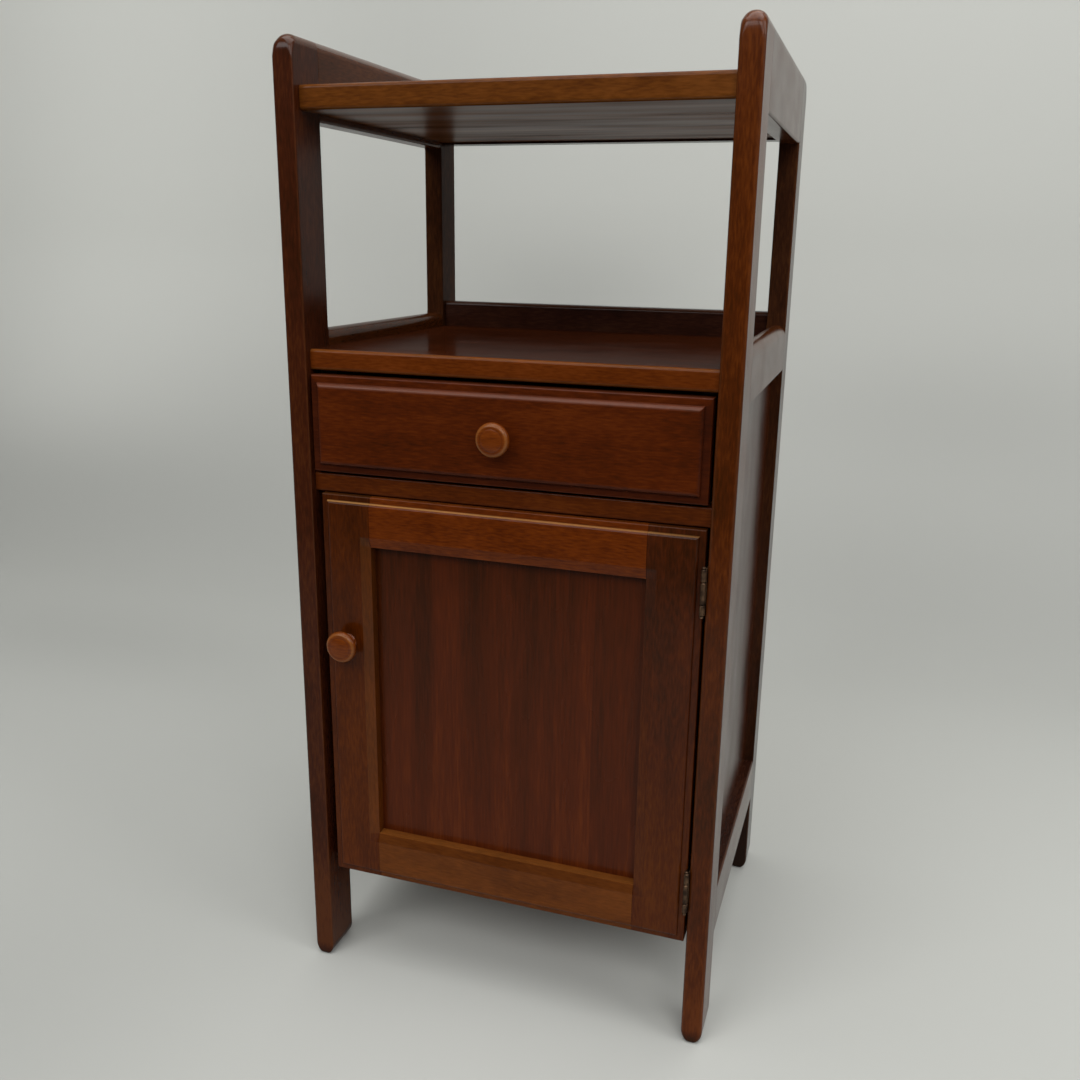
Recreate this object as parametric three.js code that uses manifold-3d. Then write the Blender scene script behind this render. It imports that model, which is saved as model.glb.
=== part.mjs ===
// A telephone stand in stained wood: two frame-and-panel sides carry an open bay between two
// shelves, with a drawer and a hinged cupboard door below. Sizes are in millimetres, +Z is up.
// While it is built, X runs from the left outer face, Y from the front of the posts to the
// back and Z from the floor. The group at the end moves the origin to the middle of the foot.

import * as THREE from 'three';
import { mergeVertices } from 'three/addons/utils/BufferGeometryUtils.js';
import Module from 'manifold-3d';

const wasm = await Module();
wasm.setup();

// Overall size
const overallWidth = 380;
const overallDepth = 319;
const overallHeight = 829;

// Side frames: posts, rails and panels
const sideThickness = 18.5;
const frontPostDepth = 40;
const rearPostDepth = 37;
const topRailHeight = 62;
const middleRailHeight = 44;
const middleRailRise = 14;
const bottomRailHeight = 47;
const footHeight = 87.5;
const sidePanelThickness = 6;
const sidePanelRecess = 10;
const panelGrooveDepth = 6;
const arrisRadius = 3;
const topEdgeRadius = 9;
const railArrisRadius = 2;
const footArrisRadius = 2.5;
const postFrontTopRadius = 9;
const postRearTopRadius = 20;

// Shelves and the pieces across the back
const topShelfDrop = 37;
const topShelfThickness = 19;
const topShelfSetback = 8;
const openBayHeight = 186;
const middleShelfThickness = 17.5;
const middleShelfSetback = 7;
const shelfArrisRadius = 3;
const backRailThickness = 18;
const backRailSetback = 6;
const backRailRise = 26;
const backRailArrisRadius = 4;
const backTopRailLip = 2;
const backPanelThickness = 5;
const backPanelInset = 6;
const bottomBoardThickness = 16;
const bottomBoardLift = 2;

// Drawer opening
const dividerThickness = 16;
const dividerDepth = 40;
const dividerSetback = 7;
const dividerArrisRadius = 1.5;
const runnerWidth = 15;
const runnerHeight = 12;
const kickerGap = 2;
const kickerFrontGap = 4;

// Drawer
const drawerFrontHeight = 81.6;
const drawerFrontThickness = 18;
const drawerFrontSetback = 2;
const drawerTopGap = 3.3;
const drawerBottomGap = 2.6;
const drawerSideGap = 2.8;
const drawerFieldRise = 4;
const drawerBorderWidth = 6;
const drawerBoxGap = 3.5;
const drawerWallThickness = 10;
const drawerWallDrop = 5.5;
const drawerRunningGap = 0.3;
const drawerRearGap = 6;
const drawerBottomThickness = 4;
const drawerBottomLift = 6;
const drawerBackDrop = 6;
const drawerGrooveDepth = 5;

// Door
const doorThickness = 17;
const doorSetback = 3;
const doorTopGap = 1;
const doorLift = 11.5;
const doorHingeGap = 2.4;
const doorLatchGap = 8;
const doorFieldRise = 3;
const doorBorderWidth = 5.4;
const doorStileWidth = 45.7;
const doorTopRailHeight = 43.9;
const doorBottomRailHeight = 46.3;
const doorBevelWidth = 8.8;
const doorBevelDepth = 2.5;
const doorPanelThickness = 6;
const doorPanelRecess = 7.8;
const doorGrooveDepth = 7;
const doorStopGap = 1.3;
const mouldingArrisRadius = 1;

// Turned knobs and the screws that hold them
const knobHeadRadius = 14.2;
const knobRimRadius = 4;
const knobDome = 1;
const knobProjection = 17;
const knobBaseRadius = 8;
const knobNeckRadius = 6;
const knobNeckReach = 4.5;
const knobBoreDepth = 11;
const knobScrewRadius = 2;
const knobScrewReach = 9;
const knobScrewHeadRadius = 4.5;
const knobScrewHeadHeight = 2.4;
const doorKnobInset = 21.8;
const doorKnobDrop = 133;
const drawerKnobLift = 0.3;

// Butt hinges
const hingeLength = 38.5;
const upperHingeDrop = 29.3;
const lowerHingeLift = 32;
const hingeKnuckleRadius = 2.2;
const hingeKnuckleShares = [0, 0.24, 0.72, 1];
const hingeKnuckleGap = 0.3;
const hingePinRadius = 0.9;
const hingePinBallRadius = 1.7;
const hingePinBallReach = 1.9;
const hingeLeafThickness = 1;
const hingeLeafDepth = 16.5;
const hingeLeafStart = 2.8;
const hingePinOffset = 0.2;
const hingeScrewSpacing = 22;
const hingeScrewInset = 6.5;
const hingeScrewHeadRadius = 2.2;
const hingeScrewHeadDepth = 0.8;
const hingeScrewRadius = 1.1;
const hingeScrewLength = 11;

// Magnetic catch
const catchWidth = 46;
const catchDepth = 13;
const catchHeight = 12;
const catchFromLatchEdge = 22;
const catchArrisRadius = 2;
const catchGap = 0.3;
const strikeWidth = 38;
const strikeHeight = 12;
const strikeThickness = 1.2;

// Clearances and overruns
const fitClearance = 0.3;
const pinClearance = 0.3;
const cutOverrun = 5;
const mergeTolerance = 0.0001;

// How finely round shapes are drawn
const arrisSteps = 3;
const roundSteps = 6;
const ballSteps = 5;
const knobSides = 28;
const barrelSides = 14;
const screwSides = 10;

// Levels worked out from the sizes above
const topRailBottom = overallHeight - topRailHeight;
const topShelfTop = overallHeight - topShelfDrop;
const topShelfBottom = topShelfTop - topShelfThickness;
const middleShelfTop = topShelfBottom - openBayHeight;
const middleShelfBottom = middleShelfTop - middleShelfThickness;
const middleRailTop = middleShelfTop + middleRailRise;
const middleRailBottom = middleRailTop - middleRailHeight;
const bottomRailTop = footHeight + bottomRailHeight;
const drawerFrontTop = middleShelfBottom - drawerTopGap;
const drawerFrontBottom = drawerFrontTop - drawerFrontHeight;
const dividerTop = drawerFrontBottom - drawerBottomGap;
const dividerBottom = dividerTop - dividerThickness;
const doorTop = dividerBottom - doorTopGap;
const doorBottom = footHeight + doorLift;
const bottomBoardBottom = doorBottom + bottomBoardLift;
const bottomBoardTop = bottomBoardBottom + bottomBoardThickness;

// Places along the width and the depth
const innerLeft = sideThickness;
const innerRight = overallWidth - sideThickness;
const rearPostFront = overallDepth - rearPostDepth;
const backRailFront = rearPostFront + backRailSetback;
const backRailRear = backRailFront + backRailThickness;
const backPanelFront = backRailFront + backPanelInset;
const drawerBorderY = drawerFrontSetback;
const drawerFieldY = drawerBorderY - drawerFieldRise;
const drawerFrontRear = drawerBorderY + drawerFrontThickness;
const doorBorderY = doorSetback;
const doorFieldY = doorBorderY - doorFieldRise;
const doorRear = doorBorderY + doorThickness;
const doorLeft = innerLeft + doorLatchGap;
const doorRight = innerRight - doorHingeGap;
const doorPanelFront = doorBorderY + doorPanelRecess;
const hingePinX = doorRight + hingePinOffset;
const hingePinY = -hingeKnuckleRadius;
const frontReach = Math.max(knobProjection - drawerFieldY, knobProjection - doorFieldY);

// Finishes: colour, roughness and metalness
const finishes = {
  postWood: { color: 0x43170b, roughness: 0.4, metalness: 0 },
  railWood: { color: 0x4a1b0d, roughness: 0.4, metalness: 0 },
  shelfWood: { color: 0x5c1f0b, roughness: 0.32, metalness: 0 },
  panelWood: { color: 0x4f2010, roughness: 0.45, metalness: 0 },
  drawerWood: { color: 0x4b190a, roughness: 0.36, metalness: 0 },
  knobWood: { color: 0x8a451c, roughness: 0.35, metalness: 0 },
  plainWood: { color: 0xb08a5c, roughness: 0.7, metalness: 0 },
  plywood: { color: 0xa67c4f, roughness: 0.75, metalness: 0 },
  brass: { color: 0x8f7440, roughness: 0.35, metalness: 1 },
  steel: { color: 0x9a9a98, roughness: 0.35, metalness: 1 },
  catchPlastic: { color: 0x4a3020, roughness: 0.5, metalness: 0 },
};

// Solids and meshes

function toSolid(geometry) {
  geometry.deleteAttribute('normal');
  geometry.deleteAttribute('uv');
  const merged = mergeVertices(geometry, mergeTolerance);
  const index = merged.index.array;
  const corners = [];
  for (let i = 0; i < index.length; i += 3) {
    const [a, b, c] = [index[i], index[i + 1], index[i + 2]];
    if (a !== b && b !== c && c !== a) corners.push(a, b, c);
  }
  return new wasm.Manifold(new wasm.Mesh({
    numProp: 3,
    vertProperties: merged.attributes.position.array,
    triVerts: new Uint32Array(corners),
  }));
}

function toMesh(name, solid, finish) {
  const { vertProperties, triVerts } = solid.getMesh();
  const geometry = new THREE.BufferGeometry();
  geometry.setAttribute('position', new THREE.BufferAttribute(vertProperties, 3));
  geometry.setIndex(new THREE.BufferAttribute(triVerts, 1));
  geometry.computeVertexNormals();
  const mesh = new THREE.Mesh(geometry, new THREE.MeshStandardMaterial(finishes[finish]));
  mesh.name = name;
  return mesh;
}

// A prism of an outline drawn in two axes, reaching along the third
function prism(points, axis, from, to) {
  const shape = new THREE.Shape(points);
  const geometry = new THREE.ExtrudeGeometry(shape, { depth: to - from, bevelEnabled: false });
  const x = new THREE.Vector3(1, 0, 0);
  const y = new THREE.Vector3(0, 1, 0);
  const z = new THREE.Vector3(0, 0, 1);
  const turn = new THREE.Matrix4();
  if (axis === 'x') turn.makeBasis(y, z, x).setPosition(from, 0, 0);
  if (axis === 'y') turn.makeBasis(x, z, y.clone().negate()).setPosition(0, to, 0);
  if (axis === 'z') turn.makeBasis(x, y, z).setPosition(0, 0, from);
  return toSolid(geometry.applyMatrix4(turn));
}

function quarterArc(centreU, centreV, radius, start, steps) {
  const points = [];
  for (let i = 0; i <= steps; i += 1) {
    const angle = start + (Math.PI / 2) * (i / steps);
    points.push(new THREE.Vector2(centreU + radius * Math.cos(angle), centreV + radius * Math.sin(angle)));
  }
  return points;
}

// A rectangle whose corners are rounded by their own radii, counter-clockwise from the lowest
function roundedOutline(u0, v0, u1, v1, radii, steps = arrisSteps) {
  const [a, b, c, d] = radii.map((radius) => Math.min(radius, (u1 - u0) / 2, (v1 - v0) / 2));
  const corner = (u, v, radius, start, spanU, spanV) => (radius > 0
    ? quarterArc(u + spanU * radius, v + spanV * radius, radius, start, steps)
    : [new THREE.Vector2(u, v)]);
  return [
    ...corner(u0, v0, a, Math.PI, 1, 1),
    ...corner(u1, v0, b, -Math.PI / 2, -1, 1),
    ...corner(u1, v1, c, 0, -1, -1),
    ...corner(u0, v1, d, Math.PI / 2, 1, -1),
  ];
}

function box(x0, y0, z0, x1, y1, z1) {
  return prism(roundedOutline(x0, y0, x1, y1, [0, 0, 0, 0]), 'z', z0, z1);
}

function cutAll(solid, cutters) {
  return cutters.reduce((rest, cutter) => rest.subtract(cutter), solid);
}

// A turned shape about a line along Y or Z or X, from points of radius and height
function turned(profile, sides, place, direction) {
  const geometry = new THREE.LatheGeometry(profile, sides);
  const up = new THREE.Vector3(0, 1, 0);
  const turn = new THREE.Quaternion().setFromUnitVectors(up, direction);
  geometry.applyQuaternion(turn);
  geometry.translate(place.x, place.y, place.z);
  return toSolid(geometry);
}

function rod(radius, length, sides, place, direction) {
  const profile = [
    new THREE.Vector2(0, 0),
    new THREE.Vector2(radius, 0),
    new THREE.Vector2(radius, length),
    new THREE.Vector2(0, length),
  ];
  return turned(profile, sides, place, direction);
}

// Side frames

const sides = [
  { name: 'left', x0: 0, x1: innerLeft, outer: 0, inward: 1 },
  { name: 'right', x0: innerRight, x1: overallWidth, outer: overallWidth, inward: -1 },
];

function sidePanelRange(side, grow) {
  const near = side.outer + side.inward * (sidePanelRecess - grow);
  const far = side.outer + side.inward * (sidePanelRecess + sidePanelThickness + grow);
  return [Math.min(near, far), Math.max(near, far)];
}

function sidePanelSolid(side, grow) {
  const [x0, x1] = sidePanelRange(side, grow);
  return box(
    x0,
    frontPostDepth - panelGrooveDepth - grow,
    bottomRailTop - panelGrooveDepth - grow,
    x1,
    rearPostFront + panelGrooveDepth + grow,
    middleRailBottom + panelGrooveDepth + grow,
  );
}

function backPanelSolid(grow) {
  return box(
    innerLeft - panelGrooveDepth - grow,
    backPanelFront - grow,
    bottomRailTop - panelGrooveDepth - grow,
    innerRight + panelGrooveDepth + grow,
    backPanelFront + backPanelThickness + grow,
    middleRailBottom + panelGrooveDepth + grow,
  );
}

// The bullnosed end view that posts and rails share, seen along Y
function sideEndView(side, bottom, bottomRadius, top) {
  const radii = [bottomRadius, bottomRadius, topEdgeRadius, topEdgeRadius];
  return roundedOutline(side.x0, bottom, side.x1, top, radii, roundSteps);
}

function postSolid(side, y0, y1, planRadii, profileRadii) {
  const plan = roundedOutline(side.x0, y0, side.x1, y1, planRadii);
  const profile = roundedOutline(y0, 0, y1, overallHeight, profileRadii, roundSteps);
  const post = prism(plan, 'z', 0, overallHeight);
  const endView = prism(sideEndView(side, 0, footArrisRadius, overallHeight), 'y', y0, y1);
  return post.intersect(endView).intersect(prism(profile, 'x', side.x0, side.x1));
}

function frontPost(side) {
  const planRadii = [arrisRadius, arrisRadius, 0, 0];
  const profileRadii = [footArrisRadius, footArrisRadius, 0, postFrontTopRadius];
  const post = postSolid(side, 0, frontPostDepth, planRadii, profileRadii);
  const cutters = [sidePanelSolid(side, fitClearance)];
  if (side.name === 'right') cutters.push(...hingeScrewCutters('frame'));
  return toMesh(`${side.name}_front_post`, cutAll(post, cutters), 'postWood');
}

function rearPost(side) {
  const planRadii = [0, 0, arrisRadius, arrisRadius];
  const profileRadii = [footArrisRadius, footArrisRadius, postRearTopRadius, 0];
  const post = postSolid(side, rearPostFront, overallDepth, planRadii, profileRadii);
  const cutters = [sidePanelSolid(side, fitClearance), backPanelSolid(fitClearance)];
  return toMesh(`${side.name}_rear_post`, cutAll(post, cutters), 'postWood');
}

function sideRail(side, label, endView) {
  const rail = prism(endView, 'y', frontPostDepth, rearPostFront);
  const solid = cutAll(rail, [sidePanelSolid(side, fitClearance)]);
  return toMesh(`${side.name}_${label}_rail`, solid, 'railWood');
}

function sideFrame(side) {
  const lowRadii = [railArrisRadius, railArrisRadius, railArrisRadius, railArrisRadius];
  const bottomView = roundedOutline(side.x0, footHeight, side.x1, bottomRailTop, lowRadii);
  const panel = sidePanelSolid(side, 0);
  return [
    frontPost(side),
    rearPost(side),
    sideRail(side, 'top', sideEndView(side, topRailBottom, railArrisRadius, overallHeight)),
    sideRail(side, 'middle', sideEndView(side, middleRailBottom, railArrisRadius, middleRailTop)),
    sideRail(side, 'bottom', bottomView),
    toMesh(`${side.name}_side_panel`, panel, 'panelWood'),
  ];
}

// Shelves, boards and the pieces across the back

function board(name, y0, z0, y1, z1, radii, finish, cutters = []) {
  const solid = prism(roundedOutline(y0, z0, y1, z1, radii), 'x', innerLeft, innerRight);
  return toMesh(name, cutAll(solid, cutters), finish);
}

function shelves() {
  const rounded = [shelfArrisRadius, 0, 0, shelfArrisRadius];
  const dividerRadii = [dividerArrisRadius, 0, 0, dividerArrisRadius];
  const dividerRear = dividerSetback + dividerDepth;
  const boardFront = doorRear + doorStopGap;
  return [
    board('top_shelf', topShelfSetback, topShelfBottom, backRailFront, topShelfTop, rounded, 'shelfWood'),
    board('middle_shelf', middleShelfSetback, middleShelfBottom, backRailFront, middleShelfTop, rounded,
      'shelfWood'),
    board('drawer_divider', dividerSetback, dividerBottom, dividerRear, dividerTop, dividerRadii, 'railWood'),
    board('bottom_board', boardFront, bottomBoardBottom, backRailFront, bottomBoardTop, [0, 0, 0, 0],
      'panelWood'),
  ];
}

function backPieces() {
  const square = [0, 0, 0, 0];
  const rounded = [0, 0, backRailArrisRadius, backRailArrisRadius];
  const groove = [backPanelSolid(fitClearance)];
  const topRailTop = topShelfTop + backRailRise;
  const topRailLow = topShelfBottom - backTopRailLip;
  const middleBackTop = middleShelfTop + backRailRise;
  return [
    board('back_top_rail', backRailFront, topRailLow, backRailRear, topRailTop, rounded, 'railWood'),
    board('back_middle_rail', backRailFront, middleRailBottom, backRailRear, middleBackTop, rounded,
      'railWood', groove),
    board('back_bottom_rail', backRailFront, footHeight, backRailRear, bottomRailTop, square, 'railWood', groove),
    toMesh('back_panel', backPanelSolid(0), 'plywood'),
  ];
}

// Runners below and kickers above the drawer's walls
const drawerWallBottom = dividerTop + drawerRunningGap;
const drawerWallTop = drawerFrontTop - drawerWallDrop;

function drawerGuides() {
  const runnerFront = dividerSetback + dividerDepth;
  const kickerFront = drawerFrontRear + kickerFrontGap;
  const kickerBottom = drawerWallTop + kickerGap;
  return sides.flatMap((side) => {
    const inner = side.outer + side.inward * sideThickness;
    const far = inner + side.inward * runnerWidth;
    const x0 = Math.min(inner, far);
    const x1 = Math.max(inner, far);
    const runner = box(x0, runnerFront, dividerTop - runnerHeight, x1, backRailFront, dividerTop);
    const kicker = box(x0, kickerFront, kickerBottom, x1, backRailFront, middleShelfBottom);
    return [
      toMesh(`${side.name}_drawer_runner`, runner, 'plainWood'),
      toMesh(`${side.name}_drawer_kicker`, kicker, 'plainWood'),
    ];
  });
}

// A slab with a plain border and a raised field, drawn across one direction
function mouldedView(u0, u1, border, rise, borderY, rearY) {
  const fieldY = borderY - rise;
  const highArc = quarterArc(u1 - border - rise, borderY, rise, -Math.PI / 2, arrisSteps);
  const lowArc = quarterArc(u0 + border + rise, borderY, rise, Math.PI, arrisSteps);
  const lowEdge = quarterArc(u0 + mouldingArrisRadius, borderY + mouldingArrisRadius, mouldingArrisRadius,
    Math.PI, 1);
  const highEdge = quarterArc(u1 - mouldingArrisRadius, borderY + mouldingArrisRadius, mouldingArrisRadius,
    -Math.PI / 2, 1);
  const field = [new THREE.Vector2(u0 + border + rise, fieldY), new THREE.Vector2(u1 - border - rise, fieldY)];
  return [
    ...lowEdge,
    ...lowArc.slice(0, -1),
    ...field,
    ...highArc.slice(1),
    ...highEdge,
    new THREE.Vector2(u1, rearY),
    new THREE.Vector2(u0, rearY),
  ];
}

function mouldedSlab(x0, z0, x1, z1, border, rise, borderY, rearY) {
  const plan = mouldedView(x0, x1, border, rise, borderY, rearY);
  const profile = mouldedView(z0, z1, border, rise, borderY, rearY)
    .map((point) => new THREE.Vector2(point.y, point.x));
  return prism(plan, 'z', z0, z1).intersect(prism(profile, 'x', x0, x1));
}

// Knobs and their screws, pointing to the front

const forward = new THREE.Vector3(0, -1, 0);
const backward = new THREE.Vector3(0, 1, 0);

function knobProfile() {
  const rimStart = knobProjection - knobDome - knobRimRadius;
  const rimInner = knobHeadRadius - knobRimRadius;
  const faceHeight = knobProjection - knobDome;
  const path = new THREE.Path();
  path.moveTo(0, 0);
  path.lineTo(knobBaseRadius, 0);
  path.quadraticCurveTo(knobNeckRadius, knobNeckReach / 2, knobNeckRadius, knobNeckReach);
  path.quadraticCurveTo(knobNeckRadius, rimStart - knobRimRadius, knobHeadRadius, rimStart);
  path.absarc(rimInner, rimStart, knobRimRadius, 0, Math.PI / 2, false);
  path.quadraticCurveTo(rimInner / 2, (faceHeight + knobProjection) / 2 + knobDome / 2, 0, knobProjection);
  const spaced = path.getPoints(arrisSteps);
  return spaced.filter((point, i) => i === 0 || point.distanceTo(spaced[i - 1]) > mergeTolerance);
}

function knob(name, place) {
  const solid = turned(knobProfile(), knobSides, place, forward);
  const start = place.clone().add(backward.clone().multiplyScalar(cutOverrun));
  const bore = rod(knobScrewRadius + fitClearance, knobBoreDepth + cutOverrun, screwSides, start, forward);
  return toMesh(name, solid.subtract(bore), 'knobWood');
}

function knobScrewHole(place, rearY) {
  const start = new THREE.Vector3(place.x, rearY + cutOverrun, place.z);
  const length = rearY - place.y + 2 * cutOverrun;
  return rod(knobScrewRadius + fitClearance, length, screwSides, start, forward);
}

function knobScrew(name, place, rearY) {
  const head = new THREE.Vector3(place.x, rearY + knobScrewHeadHeight, place.z);
  const shankEnd = head.y - place.y + knobScrewReach;
  const profile = [
    new THREE.Vector2(0, 0),
    new THREE.Vector2(knobScrewHeadRadius * Math.SQRT1_2, 0),
    new THREE.Vector2(knobScrewHeadRadius, knobScrewHeadHeight / 2),
    new THREE.Vector2(knobScrewHeadRadius, knobScrewHeadHeight),
    new THREE.Vector2(knobScrewRadius, knobScrewHeadHeight),
    new THREE.Vector2(knobScrewRadius, shankEnd),
    new THREE.Vector2(0, shankEnd),
  ];
  return toMesh(name, turned(profile, screwSides, head, forward), 'steel');
}

// Drawer

const drawerLeft = innerLeft + drawerSideGap;
const drawerRight = innerRight - drawerSideGap;
const drawerWallRear = backRailFront - drawerRearGap;
const drawerBottomZ = drawerWallBottom + drawerBottomLift;
const drawerKnobPlace = new THREE.Vector3(
  overallWidth / 2,
  drawerFieldY,
  (drawerFrontTop + drawerFrontBottom) / 2 + drawerKnobLift,
);

function drawerBottomSolid(grow) {
  const insideLeft = innerLeft + drawerBoxGap + drawerWallThickness;
  const insideRight = innerRight - drawerBoxGap - drawerWallThickness;
  return box(
    insideLeft - drawerGrooveDepth - grow,
    drawerFrontRear - drawerGrooveDepth - grow,
    drawerBottomZ - grow,
    insideRight + drawerGrooveDepth + grow,
    drawerWallRear + grow,
    drawerBottomZ + drawerBottomThickness + grow,
  );
}

function drawerFront() {
  const slab = mouldedSlab(drawerLeft, drawerFrontBottom, drawerRight, drawerFrontTop, drawerBorderWidth,
    drawerFieldRise, drawerBorderY, drawerFrontRear);
  const cutters = [drawerBottomSolid(fitClearance), knobScrewHole(drawerKnobPlace, drawerFrontRear)];
  return toMesh('drawer_front', cutAll(slab, cutters), 'drawerWood');
}

function drawerWalls() {
  const back = box(
    innerLeft + drawerBoxGap + drawerWallThickness,
    drawerWallRear - drawerWallThickness,
    drawerBottomZ + drawerBottomThickness + fitClearance,
    innerRight - drawerBoxGap - drawerWallThickness,
    drawerWallRear,
    drawerWallTop - drawerBackDrop,
  );
  const walls = sides.map((side) => {
    const outside = side.outer + side.inward * (sideThickness + drawerBoxGap);
    const inside = outside + side.inward * drawerWallThickness;
    const x0 = Math.min(outside, inside);
    const x1 = Math.max(outside, inside);
    const wall = box(x0, drawerFrontRear, drawerWallBottom, x1, drawerWallRear, drawerWallTop);
    return toMesh(`drawer_${side.name}_wall`, cutAll(wall, [drawerBottomSolid(fitClearance)]), 'plainWood');
  });
  return [...walls, toMesh('drawer_back_wall', back, 'plainWood')];
}

function drawer() {
  return [
    drawerFront(),
    ...drawerWalls(),
    toMesh('drawer_bottom', drawerBottomSolid(0), 'plywood'),
    knob('drawer_knob', drawerKnobPlace),
    knobScrew('drawer_knob_screw', drawerKnobPlace, drawerFrontRear),
  ];
}

// Door

const doorKnobPlace = new THREE.Vector3(
  doorLeft + doorKnobInset,
  doorFieldY,
  doorTop - doorKnobDrop,
);

function doorPanelSolid(grow) {
  return box(
    doorLeft + doorStileWidth - doorGrooveDepth - grow,
    doorPanelFront - grow,
    doorBottom + doorBottomRailHeight - doorGrooveDepth - grow,
    doorRight - doorStileWidth + doorGrooveDepth + grow,
    doorPanelFront + doorPanelThickness + grow,
    doorTop - doorTopRailHeight + doorGrooveDepth + grow,
  );
}

// The bevel round the panel, which runs across the joints and meets itself in mitres
function bevelView(low, high) {
  const outerSpan = 2 * doorBevelWidth;
  return [
    new THREE.Vector2(low, doorFieldY + doorBevelDepth),
    new THREE.Vector2(low - outerSpan, doorFieldY - doorBevelDepth),
    new THREE.Vector2(high + outerSpan, doorFieldY - doorBevelDepth),
    new THREE.Vector2(high, doorFieldY + doorBevelDepth),
  ];
}

function doorBevelSolid() {
  const plan = bevelView(doorLeft + doorStileWidth, doorRight - doorStileWidth);
  const profile = bevelView(doorBottom + doorBottomRailHeight, doorTop - doorTopRailHeight)
    .map((point) => new THREE.Vector2(point.y, point.x));
  return prism(plan, 'z', doorBottom, doorTop).intersect(prism(profile, 'x', doorLeft, doorRight));
}

function doorPiece(name, x0, z0, x1, z1, cutters) {
  const slab = mouldedSlab(doorLeft, doorBottom, doorRight, doorTop, doorBorderWidth, doorFieldRise,
    doorBorderY, doorRear);
  const span = box(x0, doorFieldY - cutOverrun, z0, x1, doorRear + cutOverrun, z1);
  const piece = cutAll(slab.intersect(span), [doorPanelSolid(fitClearance), doorBevelSolid(), ...cutters]);
  return toMesh(name, piece, 'panelWood');
}

function door() {
  const leftInner = doorLeft + doorStileWidth;
  const rightInner = doorRight - doorStileWidth;
  const outer = cutOverrun;
  const knobHole = knobScrewHole(doorKnobPlace, doorRear);
  return [
    doorPiece('door_left_stile', doorLeft - outer, doorBottom - outer, leftInner, doorTop + outer, [knobHole]),
    doorPiece('door_right_stile', rightInner, doorBottom - outer, doorRight + outer, doorTop + outer,
      [...hingePockets(), ...hingeScrewCutters('door')]),
    doorPiece('door_top_rail', leftInner, doorTop - doorTopRailHeight, rightInner, doorTop + outer, []),
    doorPiece('door_bottom_rail', leftInner, doorBottom - outer, rightInner, doorBottom + doorBottomRailHeight,
      []),
    toMesh('door_panel', doorPanelSolid(0), 'panelWood'),
    knob('door_knob', doorKnobPlace),
    knobScrew('door_knob_screw', doorKnobPlace, doorRear),
  ];
}

// Hinges: a frame leaf on the post with the outer knuckles, a door leaf let into the edge of the
// stile with the one between them, and a pin with ball tips

const upward = new THREE.Vector3(0, 0, 1);
const hinges = [
  { name: 'upper', z0: doorTop - upperHingeDrop - hingeLength },
  { name: 'lower', z0: doorBottom + lowerHingeLift },
];
const leaves = [
  { name: 'frame', seat: innerRight, inward: -1, firstKnuckle: 0 },
  { name: 'door', seat: doorRight - hingeLeafThickness, inward: 1, firstKnuckle: 1 },
];

function leafRange(leaf) {
  const face = leaf.seat + leaf.inward * hingeLeafThickness;
  return [Math.min(leaf.seat, face), Math.max(leaf.seat, face)];
}

// The pockets in the edge of the stile that take the door leaves
function hingePockets() {
  return hinges.map((hinge) => box(
    doorRight - hingeLeafThickness - fitClearance,
    doorFieldY - cutOverrun,
    hinge.z0 - fitClearance,
    doorRight + cutOverrun,
    hingePinY + hingeLeafDepth + fitClearance,
    hinge.z0 + hingeLength + fitClearance,
  ));
}

function hingeScrewPlaces(hinge, leaf) {
  const middle = hinge.z0 + hingeLength / 2;
  const y = hingePinY + hingeLeafDepth - hingeScrewInset;
  const x = leaf.seat + leaf.inward * hingeLeafThickness;
  return [-1, 1].map((way) => new THREE.Vector3(x, y, middle + way * hingeScrewSpacing / 2));
}

function hingeScrewSolid(leaf, place, grow) {
  const start = place.clone();
  start.x += leaf.inward * grow;
  const profile = [
    new THREE.Vector2(0, 0),
    new THREE.Vector2(hingeScrewHeadRadius + grow, 0),
    new THREE.Vector2(hingeScrewRadius + grow, hingeScrewHeadDepth + grow),
    new THREE.Vector2(hingeScrewRadius + grow, hingeScrewLength - hingeScrewRadius + grow),
    new THREE.Vector2(0, hingeScrewLength + 2 * grow),
  ];
  return turned(profile, screwSides, start, new THREE.Vector3(-leaf.inward, 0, 0));
}

function hingeScrewCutters(leafName) {
  const leaf = leaves.find((each) => each.name === leafName);
  return hinges.flatMap((hinge) => hingeScrewPlaces(hinge, leaf)
    .map((place) => hingeScrewSolid(leaf, place, fitClearance)));
}

function hingeLeaf(hinge, leaf) {
  const [x0, x1] = leafRange(leaf);
  const plateFront = hingePinY + hingeLeafStart;
  const plateRear = hingePinY + hingeLeafDepth;
  let solid = box(x0, plateFront, hinge.z0, x1, plateRear, hinge.z0 + hingeLength);
  for (let i = leaf.firstKnuckle; i + 1 < hingeKnuckleShares.length; i += 2) {
    const z0 = hinge.z0 + hingeLength * hingeKnuckleShares[i] + hingeKnuckleGap / 2;
    const height = hingeLength * (hingeKnuckleShares[i + 1] - hingeKnuckleShares[i]) - hingeKnuckleGap;
    const foot = new THREE.Vector3(hingePinX, hingePinY, z0);
    solid = solid.add(rod(hingeKnuckleRadius, height, barrelSides, foot, upward));
    solid = solid.add(box(x0, hingePinY, z0, x1, plateFront + hingeLeafThickness, z0 + height));
  }
  const boreStart = new THREE.Vector3(hingePinX, hingePinY, hinge.z0 - cutOverrun);
  const boreLength = hingeLength + 2 * cutOverrun;
  const bore = rod(hingePinRadius + pinClearance, boreLength, barrelSides, boreStart, upward);
  const screws = hingeScrewPlaces(hinge, leaf).map((place) => hingeScrewSolid(leaf, place, fitClearance));
  return toMesh(`${hinge.name}_hinge_${leaf.name}_leaf`, cutAll(solid, [bore, ...screws]), 'brass');
}

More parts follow.
